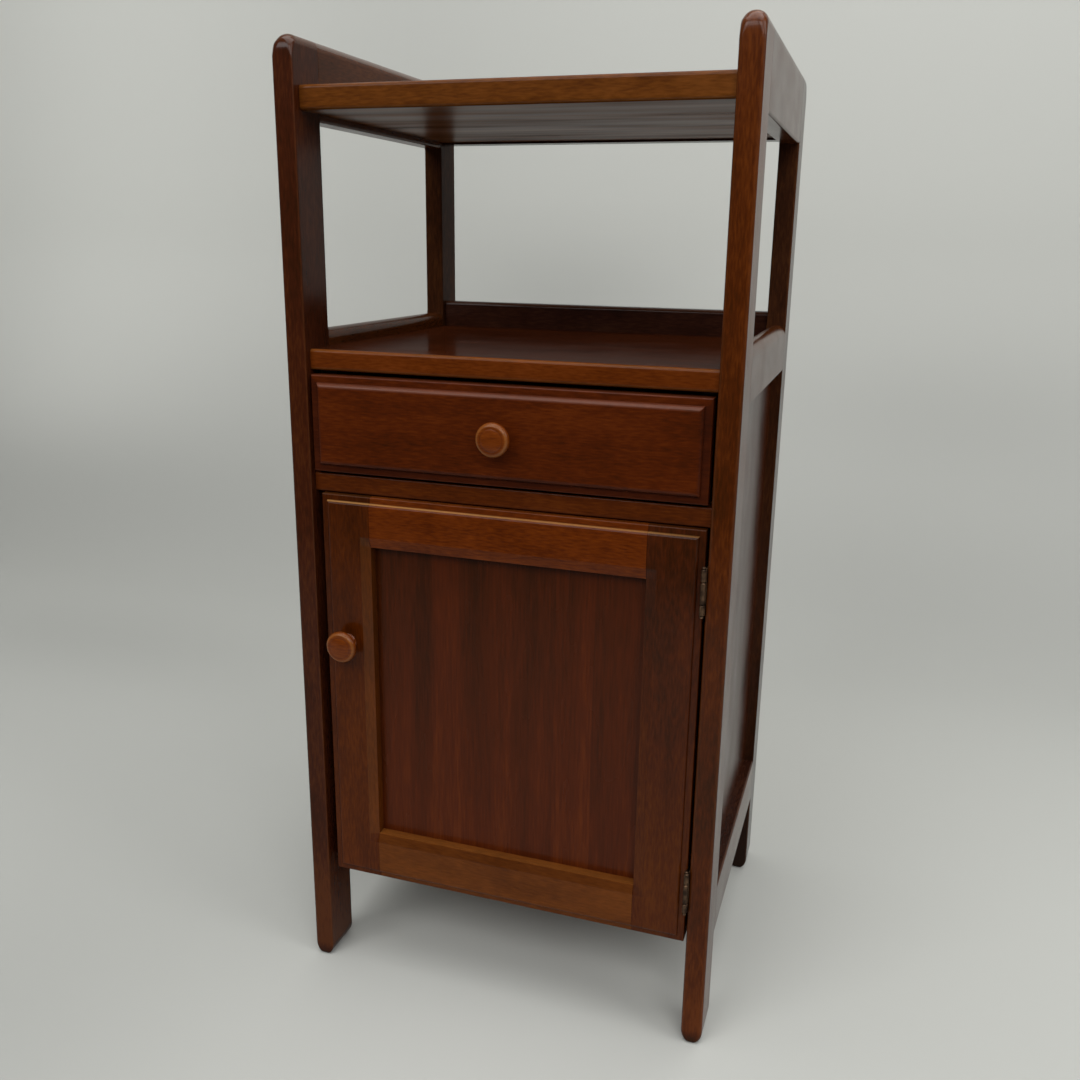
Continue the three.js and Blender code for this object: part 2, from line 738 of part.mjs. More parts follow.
// The pin is a rod whose two ends swell into small balls beyond the knuckles
function hingePin(hinge) {
  const ends = hingePinBallReach;
  const length = hingeLength + 2 * ends;
  const ballStart = Math.asin(Math.min(hingePinRadius / hingePinBallRadius, 1));
  const profile = [new THREE.Vector2(0, 0)];
  for (let i = 1; i <= ballSteps; i += 1) {
    const angle = (Math.PI - ballStart) * (i / ballSteps);
    const height = (ends - hingeKnuckleGap) * (1 - Math.cos(angle)) / (1 + Math.cos(ballStart));
    profile.push(new THREE.Vector2(hingePinBallRadius * Math.sin(angle), height));
  }
  const upperHalf = profile.map((point) => new THREE.Vector2(point.x, length - point.y)).reverse();
  const foot = new THREE.Vector3(hingePinX, hingePinY, hinge.z0 - ends);
  const solid = turned([...profile, ...upperHalf], barrelSides, foot, upward);
  return toMesh(`${hinge.name}_hinge_pin`, solid, 'brass');
}

function hingeScrews(hinge, leaf) {
  return hingeScrewPlaces(hinge, leaf).map((place, i) => {
    const name = `${hinge.name}_hinge_${leaf.name}_screw_${i + 1}`;
    return toMesh(name, hingeScrewSolid(leaf, place, 0), 'brass');
  });
}

function doorHinges() {
  return hinges.flatMap((hinge) => [
    ...leaves.map((leaf) => hingeLeaf(hinge, leaf)),
    hingePin(hinge),
    ...leaves.flatMap((leaf) => hingeScrews(hinge, leaf)),
  ]);
}

// Magnetic catch under the divider and its strike plate on the back of the door

function catchParts() {
  const bodyLeft = doorLeft + catchFromLatchEdge;
  const strikeLeft = bodyLeft + (catchWidth - strikeWidth) / 2;
  const strikeRear = doorRear + strikeThickness;
  const bodyFront = strikeRear + catchGap;
  const bodyBottom = dividerBottom - catchHeight;
  const radii = [catchArrisRadius, catchArrisRadius, 0, 0];
  const view = roundedOutline(bodyFront, bodyBottom, bodyFront + catchDepth, dividerBottom, radii);
  const strikeTop = Math.min(doorTop, bodyBottom + strikeHeight) - railArrisRadius;
  const strike = box(strikeLeft, doorRear, strikeTop - strikeHeight, strikeLeft + strikeWidth, strikeRear, strikeTop);
  return [
    toMesh('catch_body', prism(view, 'x', bodyLeft, bodyLeft + catchWidth), 'catchPlastic'),
    toMesh('catch_strike', strike, 'steel'),
  ];
}

const stand = new THREE.Group();
stand.name = 'telephone_stand';
stand.add(
  ...sides.flatMap(sideFrame),
  ...shelves(),
  ...backPieces(),
  ...drawerGuides(),
  ...drawer(),
  ...door(),
  ...doorHinges(),
  ...catchParts(),
);
stand.position.set(-overallWidth / 2, -(overallDepth - frontReach) / 2, 0);

export default stand;
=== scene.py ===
import math

import bmesh
import bpy
import numpy as np
from mathutils import Matrix, Vector


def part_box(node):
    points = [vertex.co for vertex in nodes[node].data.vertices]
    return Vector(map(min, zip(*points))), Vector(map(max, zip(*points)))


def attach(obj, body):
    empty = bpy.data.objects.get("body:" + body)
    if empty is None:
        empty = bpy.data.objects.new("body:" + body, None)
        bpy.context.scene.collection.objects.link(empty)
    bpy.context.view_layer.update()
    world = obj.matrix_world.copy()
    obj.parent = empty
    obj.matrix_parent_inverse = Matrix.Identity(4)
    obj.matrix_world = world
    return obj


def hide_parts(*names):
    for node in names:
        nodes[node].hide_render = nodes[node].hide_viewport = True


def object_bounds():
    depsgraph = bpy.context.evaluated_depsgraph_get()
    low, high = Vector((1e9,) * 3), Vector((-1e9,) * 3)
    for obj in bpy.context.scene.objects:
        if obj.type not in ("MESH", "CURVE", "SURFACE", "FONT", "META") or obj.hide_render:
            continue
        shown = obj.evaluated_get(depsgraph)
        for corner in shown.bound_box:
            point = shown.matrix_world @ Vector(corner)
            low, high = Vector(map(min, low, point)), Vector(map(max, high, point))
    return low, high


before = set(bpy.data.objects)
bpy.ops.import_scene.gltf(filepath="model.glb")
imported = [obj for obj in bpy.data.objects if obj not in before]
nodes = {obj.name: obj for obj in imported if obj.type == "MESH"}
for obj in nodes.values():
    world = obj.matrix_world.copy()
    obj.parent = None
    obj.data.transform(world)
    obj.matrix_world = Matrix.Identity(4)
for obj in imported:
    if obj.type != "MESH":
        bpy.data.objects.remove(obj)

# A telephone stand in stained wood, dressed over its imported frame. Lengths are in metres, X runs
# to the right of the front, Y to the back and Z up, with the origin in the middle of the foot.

cad_low, cad_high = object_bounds()

MM = 0.001
QUARTER = math.pi / 2
AXES = {"x": 0, "y": 1, "z": 2}

# Rounded edges, as a router and sandpaper leave them
POST_ARRIS = 3 * MM
DOOR_SIDE_ARRIS = 1.4 * MM
BAY_ARRIS = 1.8 * MM
FOOT_ROUND = 8 * MM
FOOT_RISE = 12 * MM
FOOT_ARRIS = 3 * MM
TOP_ROUND = 9 * MM
FRONT_ROLL = 12 * MM
REAR_ROLL = 20 * MM
NOSE_GROWTH = 7 * MM
NOSE_HEIGHT = 17 * MM
RAIL_ARRIS = 2 * MM
SHELF_ARRIS = 3 * MM
BACK_RAIL_ARRIS = 4 * MM
DIVIDER_ARRIS = 1.5 * MM

# An edge that is only just broken, the distance of a guard point from its arc, the line that
# shows at a joint, and the radii of a square-edged board
EASED_EDGE = 0.25 * MM
GUARD = 0.45 * MM
JOINT_LINE = 0.2 * MM
SQUARE = [EASED_EDGE] * 4

# Steps or points along arcs, and the decimals of a metre at which two grid lines become one
ARC_STEPS = 8
ROLL_POINTS = 12
ARRIS_POINTS = 6
OVOLO_POINTS = 10
DIGITS = 7

# Mouldings of the drawer front and the door
SLAB_ARRIS = 1 * MM
DRAWER_BORDER = 6 * MM
DRAWER_RISE = 4 * MM
DOOR_BORDER = 5.4 * MM
DOOR_RISE = 3 * MM
BEVEL_WIDTH = 8.8 * MM
BEVEL_DEPTH = 2.5 * MM

# Colours and shader nodes


def linear(code):
    """Turns an sRGB hex colour into linear red, green, blue and a full alpha."""
    channel = np.array([int(code[i:i + 2], 16) for i in (0, 2, 4)]) / 255
    curve = ((channel + 0.055) / 1.055) ** 2.4
    return (*np.where(channel <= 0.04045, channel / 12.92, curve).tolist(), 1.0)


def add(tree, kind, inputs=(), stops=(), **settings):
    """Adds a shader node. Inputs are values, nodes or sockets, by key or in the node's order."""
    node = tree.nodes.new("ShaderNode" + kind)
    for name, value in settings.items():
        setattr(node, name, value)
    for key, value in inputs.items() if isinstance(inputs, dict) else enumerate(inputs):
        source = value.outputs[0] if isinstance(value, bpy.types.Node) else value
        if isinstance(source, bpy.types.NodeSocket):
            tree.links.new(source, node.inputs[key])
        else:
            node.inputs[key].default_value = source
    for i, (place, colour) in enumerate(stops):
        elements = node.color_ramp.elements
        element = elements[i] if i < len(elements) else elements.new(1.0)
        element.position, element.color = place, linear(colour)
    return node


def new_material(name):
    """An empty material and its node tree."""
    material = bpy.data.materials.new(name)
    material.use_nodes = True
    material.node_tree.nodes.clear()
    return material, material.node_tree


def stretch(grain, across, along):
    """Scale of a Mapping node, so that one noise cell is across wide and along long, in mm."""
    scale = [1 / (across * MM)] * 3
    scale[AXES[grain]] = 1 / (along * MM)
    return scale


# Stained hardwood under satin lacquer, brushed or sprayed on after sanding. Soft bands of the
# growth rings, short flecks of the grain and slow blotches show through a red-brown stain that took
# unevenly, and the lacquer film gives a soft, even sheen. The borders of the mouldings are darker
# at their sides and feet, from pooled stain and painted shade, their upper crowns carry a painted
# highlight line, and the arrises are scuffed a little paler.

# Bands, flecks and blotches: mm across and along the grain, and detail. Real flecks are 0.3 to
# 0.5 mm wide. They are drawn 1.5 mm wide, because finer ones would not show.
NOISES = ((16, 120, 2.0), (1.5, 9, 3.0), (30, 52, 3.0))
LACQUER_IOR = 1.5
PORE_DEPTH = 0.1 * MM

# Where the three tones lie in the figure, and the dark tone of painted shade and pooled stain
TONE_PLACES = (0.36, 0.5, 0.64)
SHADE_AND_STAIN_TONE = "200c08"

# Gains of a dark and a pale board, and the share of a panel over which one passes to the next
BOARD_GAIN = (-0.06, 0.07)
BOARD_STEP = 0.001

# Between these values of the blotches, the sheen and the film swing from end to end
SHEEN_BLOTCHES, SHEEN_SWING = (0.3, 0.7), (-0.03, 0.04)
FILM_BLOTCHES = (0.35, 0.65)


def wood_figure(tree, coords, grain, place, shares, length):
    """Sum of bands, flecks and blotches, weighed by their shares about a half, and the three."""
    figure, layers = (1 - sum(shares)) / 2, []
    for (across, along, detail), share in zip(NOISES, shares):
        placed = add(tree, "Mapping", {"Vector": coords, "Location": place,
                                       "Scale": stretch(grain, across, along * length)})
        layers.append(add(tree, "TexNoise", {"Vector": placed, "Scale": 1.0, "Detail": detail}))
        figure = add(tree, "Math", [layers[-1], share, figure], operation="MULTIPLY_ADD")
    return figure, layers


def board_gain(tree, across, boards):
    """What the figure gains across a glued-up panel, whose boards each run between two tones."""
    start, end = boards[0][0], boards[-1][1]
    share = add(tree, "MapRange", [across, start, end])
    stops = [((x - start) / (end - start) + shift, f"{tone:02x}" * 3)
             for left, right, first, last in boards
             for x, shift, tone in ((left, BOARD_STEP, first), (right, 0.0, last))]
    tone = add(tree, "ValToRGB", {"Fac": share}, stops=stops)
    return add(tree, "MapRange", [tone, 0, 1, *BOARD_GAIN])


def lacquered(tree, colour, layers, rough, gloss, relief, film, patchy):
    """Satin lacquer over a colour. Where the film falls short of one, dry wood shows through."""
    _, flecks, blotches = layers
    ends = [rough + swing for swing in SHEEN_SWING]
    sheen = add(tree, "MapRange", [blotches, *SHEEN_BLOTCHES, *ends])
    bump = add(tree, "Bump", {"Height": flecks, "Strength": relief, "Distance": PORE_DEPTH})
    coat = {"Base Color": colour, "Roughness": sheen, "IOR": LACQUER_IOR,
            "Specular IOR Level": gloss, "Normal": bump}
    sealed = add(tree, "BsdfPrincipled", coat)
    if film == 1:
        return sealed
    dry = add(tree, "BsdfDiffuse", {"Color": colour, "Normal": bump})
    share = add(tree, "MapRange", [blotches, *FILM_BLOTCHES, film - patchy, film + patchy])
    return add(tree, "MixShader", [share, dry, sealed])


def stained_wood(name, grain, tones, place, rough=0.2, rubbed_and_lit_tone="7a4a28", wear_and_light=0.3,
                 shares=(0.17, 0.34, 0.2), boards=None, gloss=0.12, film=1.0, patchy=0.0,
                 length=1.0, relief=0.03, fades=()):
    """Stained wood whose figure is a sum of bands, flecks and blotches, looked up between tones.

    The place shifts the three noises and the shares weigh them. Boards give the tones of a
    glued-up panel's boards, from the first to the last edge of each along X. The arris attribute
    mixes in the pale tone where it is above nought, for scuffed arrises and painted highlights, and
    the dark tone of painted shade and pooled stain where it is below. Film is the share of the
    surface that the lacquer seals, patchy is how far that share swings with the blotches, and
    length draws the grain out further. Each fade holds two heights and what the figure gains at
    each, and so paints light and shade by height.
    """
    material, tree = new_material(name)
    coords = add(tree, "TexCoord").outputs["Object"]
    figure, layers = wood_figure(tree, coords, grain, place, shares, length)
    apart = add(tree, "SeparateXYZ", {"Vector": coords}) if fades or boards else None
    for fade in fades:
        gain = add(tree, "MapRange", [apart.outputs["Z"], *fade])
        figure = add(tree, "Math", [figure, gain], operation="ADD")
    if boards:
        gain = board_gain(tree, apart.outputs["X"], boards)
        figure = add(tree, "Math", [figure, gain], operation="ADD")
    stain = add(tree, "ValToRGB", {"Fac": figure}, stops=zip(TONE_PLACES, tones))
    # Paler above nought, for scuffed arrises and painted highlights, and darker below, for painted
    # shade and pooled stain
    edge = add(tree, "Attribute", attribute_name="arris").outputs["Fac"]
    shade_and_stain = add(tree, "MapRange", [edge, 0, -1])
    darker = add(tree, "Mix", {0: shade_and_stain, 6: stain, 7: linear(SHADE_AND_STAIN_TONE)}, data_type="RGBA")
    rubbed_and_lit = add(tree, "Math", [edge, wear_and_light], operation="MULTIPLY", use_clamp=True)
    colour = add(tree, "Mix", {0: rubbed_and_lit, 6: darker.outputs[2], 7: linear(rubbed_and_lit_tone)}, data_type="RGBA")
    shader = lacquered(tree, colour.outputs[2], layers, rough, gloss, relief, film, patchy)
    add(tree, "OutputMaterial", {"Surface": shader})
    return material


# Planed wood: mm across and along the grain, share, detail and distortion of bands and fine lines
PLANED_NOISES = ((9, 260, 0.7, 4.0, 0.6), (1.4, 40, 0.3, 3.0, 0.0))
PLANED_PLACES = (0.36, 0.64)
PLANED_RELIEF = 0.3


def bare_wood(name, grain, tones, rough):
    """Planed unfinished wood: bands and fine grain between two tones, with a dry, even surface."""
    material, tree = new_material(name)
    coords = add(tree, "TexCoord").outputs["Object"]
    figure = 0.0
    for across, along, share, detail, distortion in PLANED_NOISES:
        placed = add(tree, "Mapping", {"Vector": coords, "Scale": stretch(grain, across, along)})
        noise = add(tree, "TexNoise", {"Vector": placed, "Scale": 1.0, "Detail": detail,
                                       "Distortion": distortion})
        figure = add(tree, "Math", [noise, share, figure], operation="MULTIPLY_ADD")
    colour = add(tree, "ValToRGB", {"Fac": figure}, stops=zip(PLANED_PLACES, tones))
    bump = add(tree, "Bump", {"Height": noise, "Strength": PLANED_RELIEF, "Distance": PORE_DEPTH})
    shader = add(tree, "BsdfPrincipled", {"Base Color": colour, "Roughness": rough, "Normal": bump})
    add(tree, "OutputMaterial", {"Surface": shader})
    return material


# Tarnish: where its two tones and its two roughnesses lie in the noise, and the spots' relief
TARNISH_PLACES = (0.38, 0.62)
DULL_SPOTS, DULL_SWING = (0.35, 0.65), (0.1, -0.05)
TARNISH_DETAIL = 4.0
TARNISH_RELIEF = 0.15


def aged_metal(name, tones, metallic, rough, spot=2.2):
    """Rolled or drawn metal, dulled by age: spots of tarnish a few millimetres across."""
    material, tree = new_material(name)
    coords = add(tree, "TexCoord").outputs["Object"]
    spots = add(tree, "TexNoise", {"Vector": coords, "Scale": 1 / (spot * MM),
                                   "Detail": TARNISH_DETAIL})
    colour = add(tree, "ValToRGB", {"Fac": spots}, stops=zip(TARNISH_PLACES, tones))
    ends = [rough + swing for swing in DULL_SWING]
    dull = add(tree, "MapRange", [spots, *DULL_SPOTS, *ends])
    bump = add(tree, "Bump", {"Height": spots, "Strength": TARNISH_RELIEF, "Distance": PORE_DEPTH})
    shader = add(tree, "BsdfPrincipled", {"Base Color": colour, "Roughness": dull,
                                          "Metallic": metallic, "Normal": bump})
    add(tree, "OutputMaterial", {"Surface": shader})
    return material


# Shapes

# The most that a corner's radius takes of half a side, and a guard point of what is left of it
FULLEST_RADIUS = 0.998
FULLEST_GUARD = 0.9


def rounded_outline(low, high, radii):
    """Outlines of rectangles with rounded corners, counter-clockwise from the lowest corner.

    A corner is its arc's centre plus the radius times the cosine and sine of an angle that runs a
    quarter turn. One guard point more lies on the straight before and after each arc, so that
    smooth shading keeps the flats flat. low and high hold (u, v) of each section, and radii the
    four radii of each. The second result rises to one halfway round each arc.
    """
    low, high, radii = (np.atleast_2d(np.asarray(v, float)) for v in (low, high, radii))
    count = max(len(low), len(high), len(radii))
    low, high = np.broadcast_to(low, (count, 2)), np.broadcast_to(high, (count, 2))
    half = (high - low).min(axis=1, keepdims=True) / 2
    radii = np.maximum(np.broadcast_to(radii, (count, 4)), EASED_EDGE)
    radii = np.minimum(radii, half * FULLEST_RADIUS)
    guard = np.minimum(GUARD, FULLEST_GUARD * (half - radii))[..., None, None]
    corner = np.stack([low, np.stack([high[:, 0], low[:, 1]], 1), high,
                       np.stack([low[:, 0], high[:, 1]], 1)], 1)
    inward = np.array([[1, 1], [-1, 1], [-1, -1], [1, -1]])
    centre = corner + inward * radii[..., None]
    starts = np.array([math.pi, -QUARTER, 0, QUARTER])
    angle = starts[:, None] + np.linspace(0, QUARTER, ARC_STEPS + 1)
    ray = np.stack([np.cos(angle), np.sin(angle)], -1)
    arc = centre[:, :, None] + radii[..., None, None] * ray
    tangent = np.stack([-ray[..., 1], ray[..., 0]], -1)
    before = arc[:, :, :1] - guard * tangent[None, :, :1]
    after = arc[:, :, -1:] + guard * tangent[None, :, -1:]
    points = np.concatenate([before, arc, after], 2).reshape(count, -1, 2)
    on_arc = np.tile(np.r_[0, np.sin(np.linspace(0, math.pi, ARC_STEPS + 1)) ** 2, 0], 4)
    big = np.repeat(radii > 2 * EASED_EDGE, ARC_STEPS + 3, axis=1)
    return points, on_arc * big


def ring_walls(index):
    """Quads between neighbouring rings of point numbers."""
    here, above = index[:-1], index[1:]
    walls = np.stack([here, np.roll(here, -1, 1), np.roll(above, -1, 1), above], -1)
    return walls.reshape(-1, 4).tolist()


def ring_shell(rings, wear_and_light):
    """A closed shell from a stack of rings: quads between neighbours and a flat cap at each end."""
    count, points = rings.shape[:2]
    index = np.arange(count * points).reshape(count, points)
    faces = ring_walls(index) + [index[0, ::-1].tolist(), index[-1].tolist()]
    return rings.reshape(-1, 3), faces, np.broadcast_to(wear_and_light, (count, points)).reshape(-1)


def carried(outline, along, axis):
    """Sets two-dimensional outlines across an axis, each at its own place along it."""
    count, points = outline.shape[:2]
    rings = np.empty((count, points, 3))
    cross = [i for i in range(3) if i != AXES[axis]]
    rings[..., cross[0]], rings[..., cross[1]] = outline[..., 0], outline[..., 1]
    rings[..., AXES[axis]] = np.asarray(along)[:, None]
    return rings


def bar_shell(low, high, axis, radii, inset=JOINT_LINE):
    """A straight bar: one rounded rectangle carried along an axis, its ends clear of the joint.

    The ends are drawn in by an eased edge, so that a fine joint line shows where it meets a post.
    """
    low, high = np.array(low), np.array(high)
    cross = [i for i in range(3) if i != AXES[axis]]
    start, end = low[AXES[axis]] + inset, high[AXES[axis]] - inset
    drawn = np.array([EASED_EDGE, 0, 0, EASED_EDGE])[:, None]
    outline, wear_and_light = rounded_outline(low[cross] + drawn, high[cross] - drawn, radii)
    along = [start, start + EASED_EDGE, end - EASED_EDGE, end]
    return ring_shell(carried(outline, along, axis), wear_and_light)


def roll(distance, radius):
    """How far a surface has rolled in, at a distance from a piece's end: a circle's sagitta."""
    short = np.clip(radius - distance, 0, radius)
    return radius - np.sqrt(np.maximum(radius ** 2 - short ** 2, 0))


def post_shell(low, high, front, free, arrises):
    """A post: a rounded plan carried up Z, drawn in where the top and the foot roll over.

    At each height the plan's four sides move in by the sagitta of their own rounding, so the top is
    a bullnose across X that also rolls over at the front or the back, where the plan's corners grow
    evenly rounder with the height. The arrises are those of the outer face, at low and at high X.
    Free heights, where no rail joins the post, have their inner edges rounded too. Across X the
    foot's rounding is a quarter ellipse, taller than it is wide, and along Y a quarter circle.
    """
    low, high = np.array(low), np.array(high)
    outer_roll = FRONT_ROLL if front else REAR_ROLL
    quarter = 1 - np.cos(np.linspace(0, QUARTER, ROLL_POINTS))
    breaks = [edge + step for span in free for edge in span for step in (-BAY_ARRIS, BAY_ARRIS)]
    heights = np.r_[low[2] + quarter * FOOT_RISE, low[2] + quarter * FOOT_ARRIS, breaks,
                    high[2] - quarter * TOP_ROUND, high[2] - quarter * REAR_ROLL]
    heights = np.unique(np.round(np.clip(heights, low[2], high[2]), DIGITS))
    above, below = heights - low[2], high[2] - heights
    foot = roll(above, FOOT_ARRIS)
    side_foot = roll(above * FOOT_ROUND / FOOT_RISE, FOOT_ROUND)
    side_in = np.maximum(side_foot, roll(below, TOP_ROUND))
    outer_in = np.maximum(foot, roll(below, outer_roll))
    front_in, rear_in = (outer_in, foot) if front else (foot, outer_in)
    section_low = np.stack([low[0] + side_in, low[1] + front_in], 1)
    section_high = np.stack([high[0] - side_in, high[1] - rear_in], 1)
    is_free = np.any([(heights > a) & (heights < b) for a, b in free], axis=0)
    inner = np.where(is_free, BAY_ARRIS, EASED_EDGE)
    growth = NOSE_GROWTH * np.clip(1 - below / NOSE_HEIGHT, 0, 1)
    first, second = [arris + growth for arris in arrises]
    radii = [first, second, inner, inner] if front else [inner, inner, second, first]
    outline, wear_and_light = rounded_outline(section_low, section_high, np.stack(radii, 1))
    # Towards the top the post is drawn paler, up to twice its arrises, over the height of the top's
    # rounding
    top_paling = np.clip(1 - below / TOP_ROUND, 0, 1)[:, None]
    return ring_shell(carried(outline, heights, "z"), np.maximum(wear_and_light, 2 * top_paling))


def edge_lines(border, rise):
    """Distances from a moulded edge at which the surface turns, and its depth there.

    An eased arris is a quarter circle, the border is flat, and the ovolo is a quarter circle that
    starts square to the border and ends level with the field.
    """
    turn = np.linspace(0, QUARTER, ARRIS_POINTS)
    arris = SLAB_ARRIS * (1 - np.cos(turn))
    arris_depth = rise + SLAB_ARRIS * (1 - np.sin(turn))
    swing = np.linspace(0, QUARTER, OVOLO_POINTS)
    ovolo = border + rise * (1 - np.cos(swing))
    ovolo_depth = rise * (1 - np.sin(swing))
    distance = np.r_[arris, SLAB_ARRIS + GUARD, border - GUARD, ovolo, border + rise + GUARD]
    depth = np.r_[arris_depth, rise, rise, ovolo_depth, 0]
    return distance, depth


def slab_shell(xs, zs, depth, wear_and_light, rear, middle):
    """A slab whose front is a depth worked out wherever the grid lines cross.

    Every cell is split along the diagonal that points at the middle of the whole face, so that the
    mitres of mouldings and bevels run true. Straight walls join the front to a flat back.
    """
    xs, zs = np.unique(np.round(xs, DIGITS)), np.unique(np.round(zs, DIGITS))
    x, z = np.meshgrid(xs, zs, indexing="ij")
    y = depth(x, z)
    index = np.arange(x.size).reshape(x.shape)
    a, b, c, d = index[:-1, :-1], index[1:, :-1], index[1:, 1:], index[:-1, 1:]
    mid_x, mid_z = (xs[:-1] + xs[1:])[:, None] / 2, (zs[:-1] + zs[1:])[None, :] / 2
    rising = ((mid_x - middle[0]) * (mid_z - middle[1]) > 0)[..., None, None]
    one_way = np.stack([np.stack([a, b, c], -1), np.stack([a, c, d], -1)], -2)
    other_way = np.stack([np.stack([a, b, d], -1), np.stack([b, c, d], -1)], -2)
    front = np.where(rising, one_way, other_way).reshape(-1, 3)
    rim = np.r_[index[:-1, 0], index[-1, :-1], index[:0:-1, -1], index[0, :0:-1]]
    rear_rim = np.arange(len(rim)) + x.size
    walls = np.stack([rim, rear_rim, np.roll(rear_rim, -1), np.roll(rim, -1)], -1)
    points = np.stack([x, y, z], -1).reshape(-1, 3)
    rear_points = points[rim] * [1, 0, 1] + [0, rear, 0]
    faces = front.tolist() + walls.tolist() + [rear_rim.tolist()]
    amount = np.r_[wear_and_light(x, z).reshape(-1), np.zeros(len(rim))]
    return np.concatenate([points, rear_points]), faces, amount


def turned_shell(profile, centre, axis, sides, wear_and_light=None):
    """A turned surface: radius and height carried round an axis, closed at both poles.

    A point is the centre plus the radius times (cosine, sine) in the plane across the axis, plus
    the height along it. The first and last points of the profile lie on the axis.
    """
    profile = np.asarray(profile, float)
    axis = np.asarray(axis, float)
    side = np.array([1.0, 0, 0]) if axis[2] else np.array([0, 0, 1.0])
    other = np.cross(axis, side)
    angle = np.arange(sides) * 2 * math.pi / sides
    ray = np.cos(angle)[:, None] * side + np.sin(angle)[:, None] * other
    rings = profile[1:-1, 0, None, None] * ray + profile[1:-1, 1, None, None] * axis
    poles = profile[[0, -1], 1, None] * axis
    points = np.concatenate([rings.reshape(-1, 3), poles]) + centre
    index = np.arange(len(rings) * sides).reshape(len(rings), sides)
    foot = np.stack([np.roll(index[0], -1), index[0], np.full(sides, index.size)], -1)
    head = np.stack([index[-1], np.roll(index[-1], -1), np.full(sides, index.size + 1)], -1)
    amounts = np.zeros(len(profile)) if wear_and_light is None else np.asarray(wear_and_light, float)
    amounts = np.r_[np.repeat(amounts[1:-1], sides), amounts[[0, -1]]]
    return points, ring_walls(index) + foot.tolist() + head.tolist(), amounts


def new_mesh(name, points, faces):
    """A mesh from points and faces."""
    mesh = bpy.data.meshes.new(name)
    mesh.from_pydata(points.tolist(), [], faces)
    return mesh


def new_object(name, data):
    """An object in the scene."""
    item = bpy.data.objects.new(name, data)
    bpy.context.scene.collection.objects.link(item)
    return item


def store(mesh, name, values):
    """Keeps one value for each point of a mesh, for its material to read."""
    attribute = mesh.attributes.new(name, "FLOAT", "POINT")
    attribute.data.foreach_set("value", values.astype(np.float32))


def make_piece(name, shells, materials, body, replaced, smooth=34):
    """One object of closed shells, with faces outwards, that stands for CAD nodes on a body.

    Edges that turn by more than smooth, in degrees, stay sharp.
    """
    starts = np.cumsum([0] + [len(points) for points, _, _ in shells])
    points = np.concatenate([points for points, _, _ in shells])
    faces = [[i + start for i in face]
             for (_, some, _), start in zip(shells, starts) for face in some]
    mesh = new_mesh(name, points, faces)
    # Per point: paler above nought, for scuffed arrises and painted highlights, and darker below,
    # for painted shade and pooled stain
    store(mesh, "arris", np.concatenate([wear_and_light for _, _, wear_and_light in shells]))
    work = bmesh.new()
    work.from_mesh(mesh)
    bmesh.ops.recalc_face_normals(work, faces=work.faces)
    work.to_mesh(mesh)
    work.free()
    mesh.shade_smooth()
    mesh.set_sharp_from_angle(angle=math.radians(smooth))
    for material in materials:
        mesh.materials.append(material)
    piece = new_object(name, mesh)
    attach(piece, body)
    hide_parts(*replaced)
    return piece


def pick_finish(piece, picks):
    """Gives each face one of the piece's materials, by a rule on its normal n."""
    normals = np.empty(len(piece.data.polygons) * 3)
    piece.data.polygons.foreach_get("normal", normals)
    chosen = picks(normals.reshape(-1, 3)).astype(np.int32)
    piece.data.polygons.foreach_set("material_index", chosen)


def cut_pocket(piece, low, high):
    """Takes a box-shaped pocket out of a piece."""
    points, faces, _ = bar_shell(low, high, "z", SQUARE, inset=0)
    mesh = new_mesh("pocket", points, faces)
    cutter = new_object("pocket", mesh)
    modifier = piece.modifiers.new("pocket", "BOOLEAN")
    modifier.operation, modifier.solver, modifier.object = "DIFFERENCE", "EXACT", cutter
    shaped = piece.evaluated_get(bpy.context.evaluated_depsgraph_get())
    cut = bpy.data.meshes.new_from_object(shaped)
    piece.modifiers.clear()
    piece.data = cut
    bpy.data.objects.remove(cutter)
    bpy.data.meshes.remove(mesh)


# Lowest and highest corner of each CAD node
sizes = {node: np.array(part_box(node)) for node in nodes}

# Tones of the stain from dark to light, for each part
LEFT_POST_TONES = ("231005", "361608", "49240d")
RIGHT_POST_TONES = ("2a1303", "401a04", "562809")
REAR_POST_TONES = ("211108", "351b0d", "482913")
RAIL_TONES = ("271203", "3f1d07", "522a0d")
UPSTAND_TONES = ("1b0d07", "2c150d", "3b2114")
UNDER_TONES = ("341c06", "4e280a", "63350d")
SHELF_TONES = ("240e05", "351608", "421f0e")
TOP_EDGE_TONES = ("3c1c08", "532c0c", "673a14")
MIDDLE_EDGE_TONES = ("3c1504", "532406", "652f0e")
DIVIDER_TONES = ("311303", "471d05", "582908")
DRAWER_TONES = ("2d1104", "441905", "552408")
KNOB_TONES = ("461b04", "5e2905", "6d350b")
STILE_LEFT_TONES = ("2f1101", "421a02", "542504")
STILE_RIGHT_TONES = ("291002", "3e1804", "4e2406")
DOOR_TOP_TONES = ("431802", "5d2704", "723706")
DOOR_BOTTOM_TONES = ("381a04", "4f2606", "61320b")
SIDE_TONES = ("260e05", "371809", "48220f")
PANEL_TONES = ("2d1102", "441904", "5d2807")

# Two heights in metres, and what the figure gains at each: painted light bounced off the floor low
# on the front posts and the door, painted shade at the soles and high on the door, and the rear
# posts darker low down and the right post paler high up
FOOT_BOUNCE_LIGHT = (0.02, 0.13, 0.13, 0.0)
SOLE_SHADE = (0.002, 0.014, -0.26, 0.0)
REAR_FADE = (0.02, 0.3, -0.14, 0.0)
RIGHT_FADE = (0.25, 0.75, -0.035, 0.045)
DOOR_BOUNCE_AND_SHADE = (0.14, 0.44, 0.055, -0.07)

# Side frames

# Share of film on the front and the rear post of the left side, then of the right side
FRAME_FILM = ((0.88, 0.35), (1.0, 1.0))

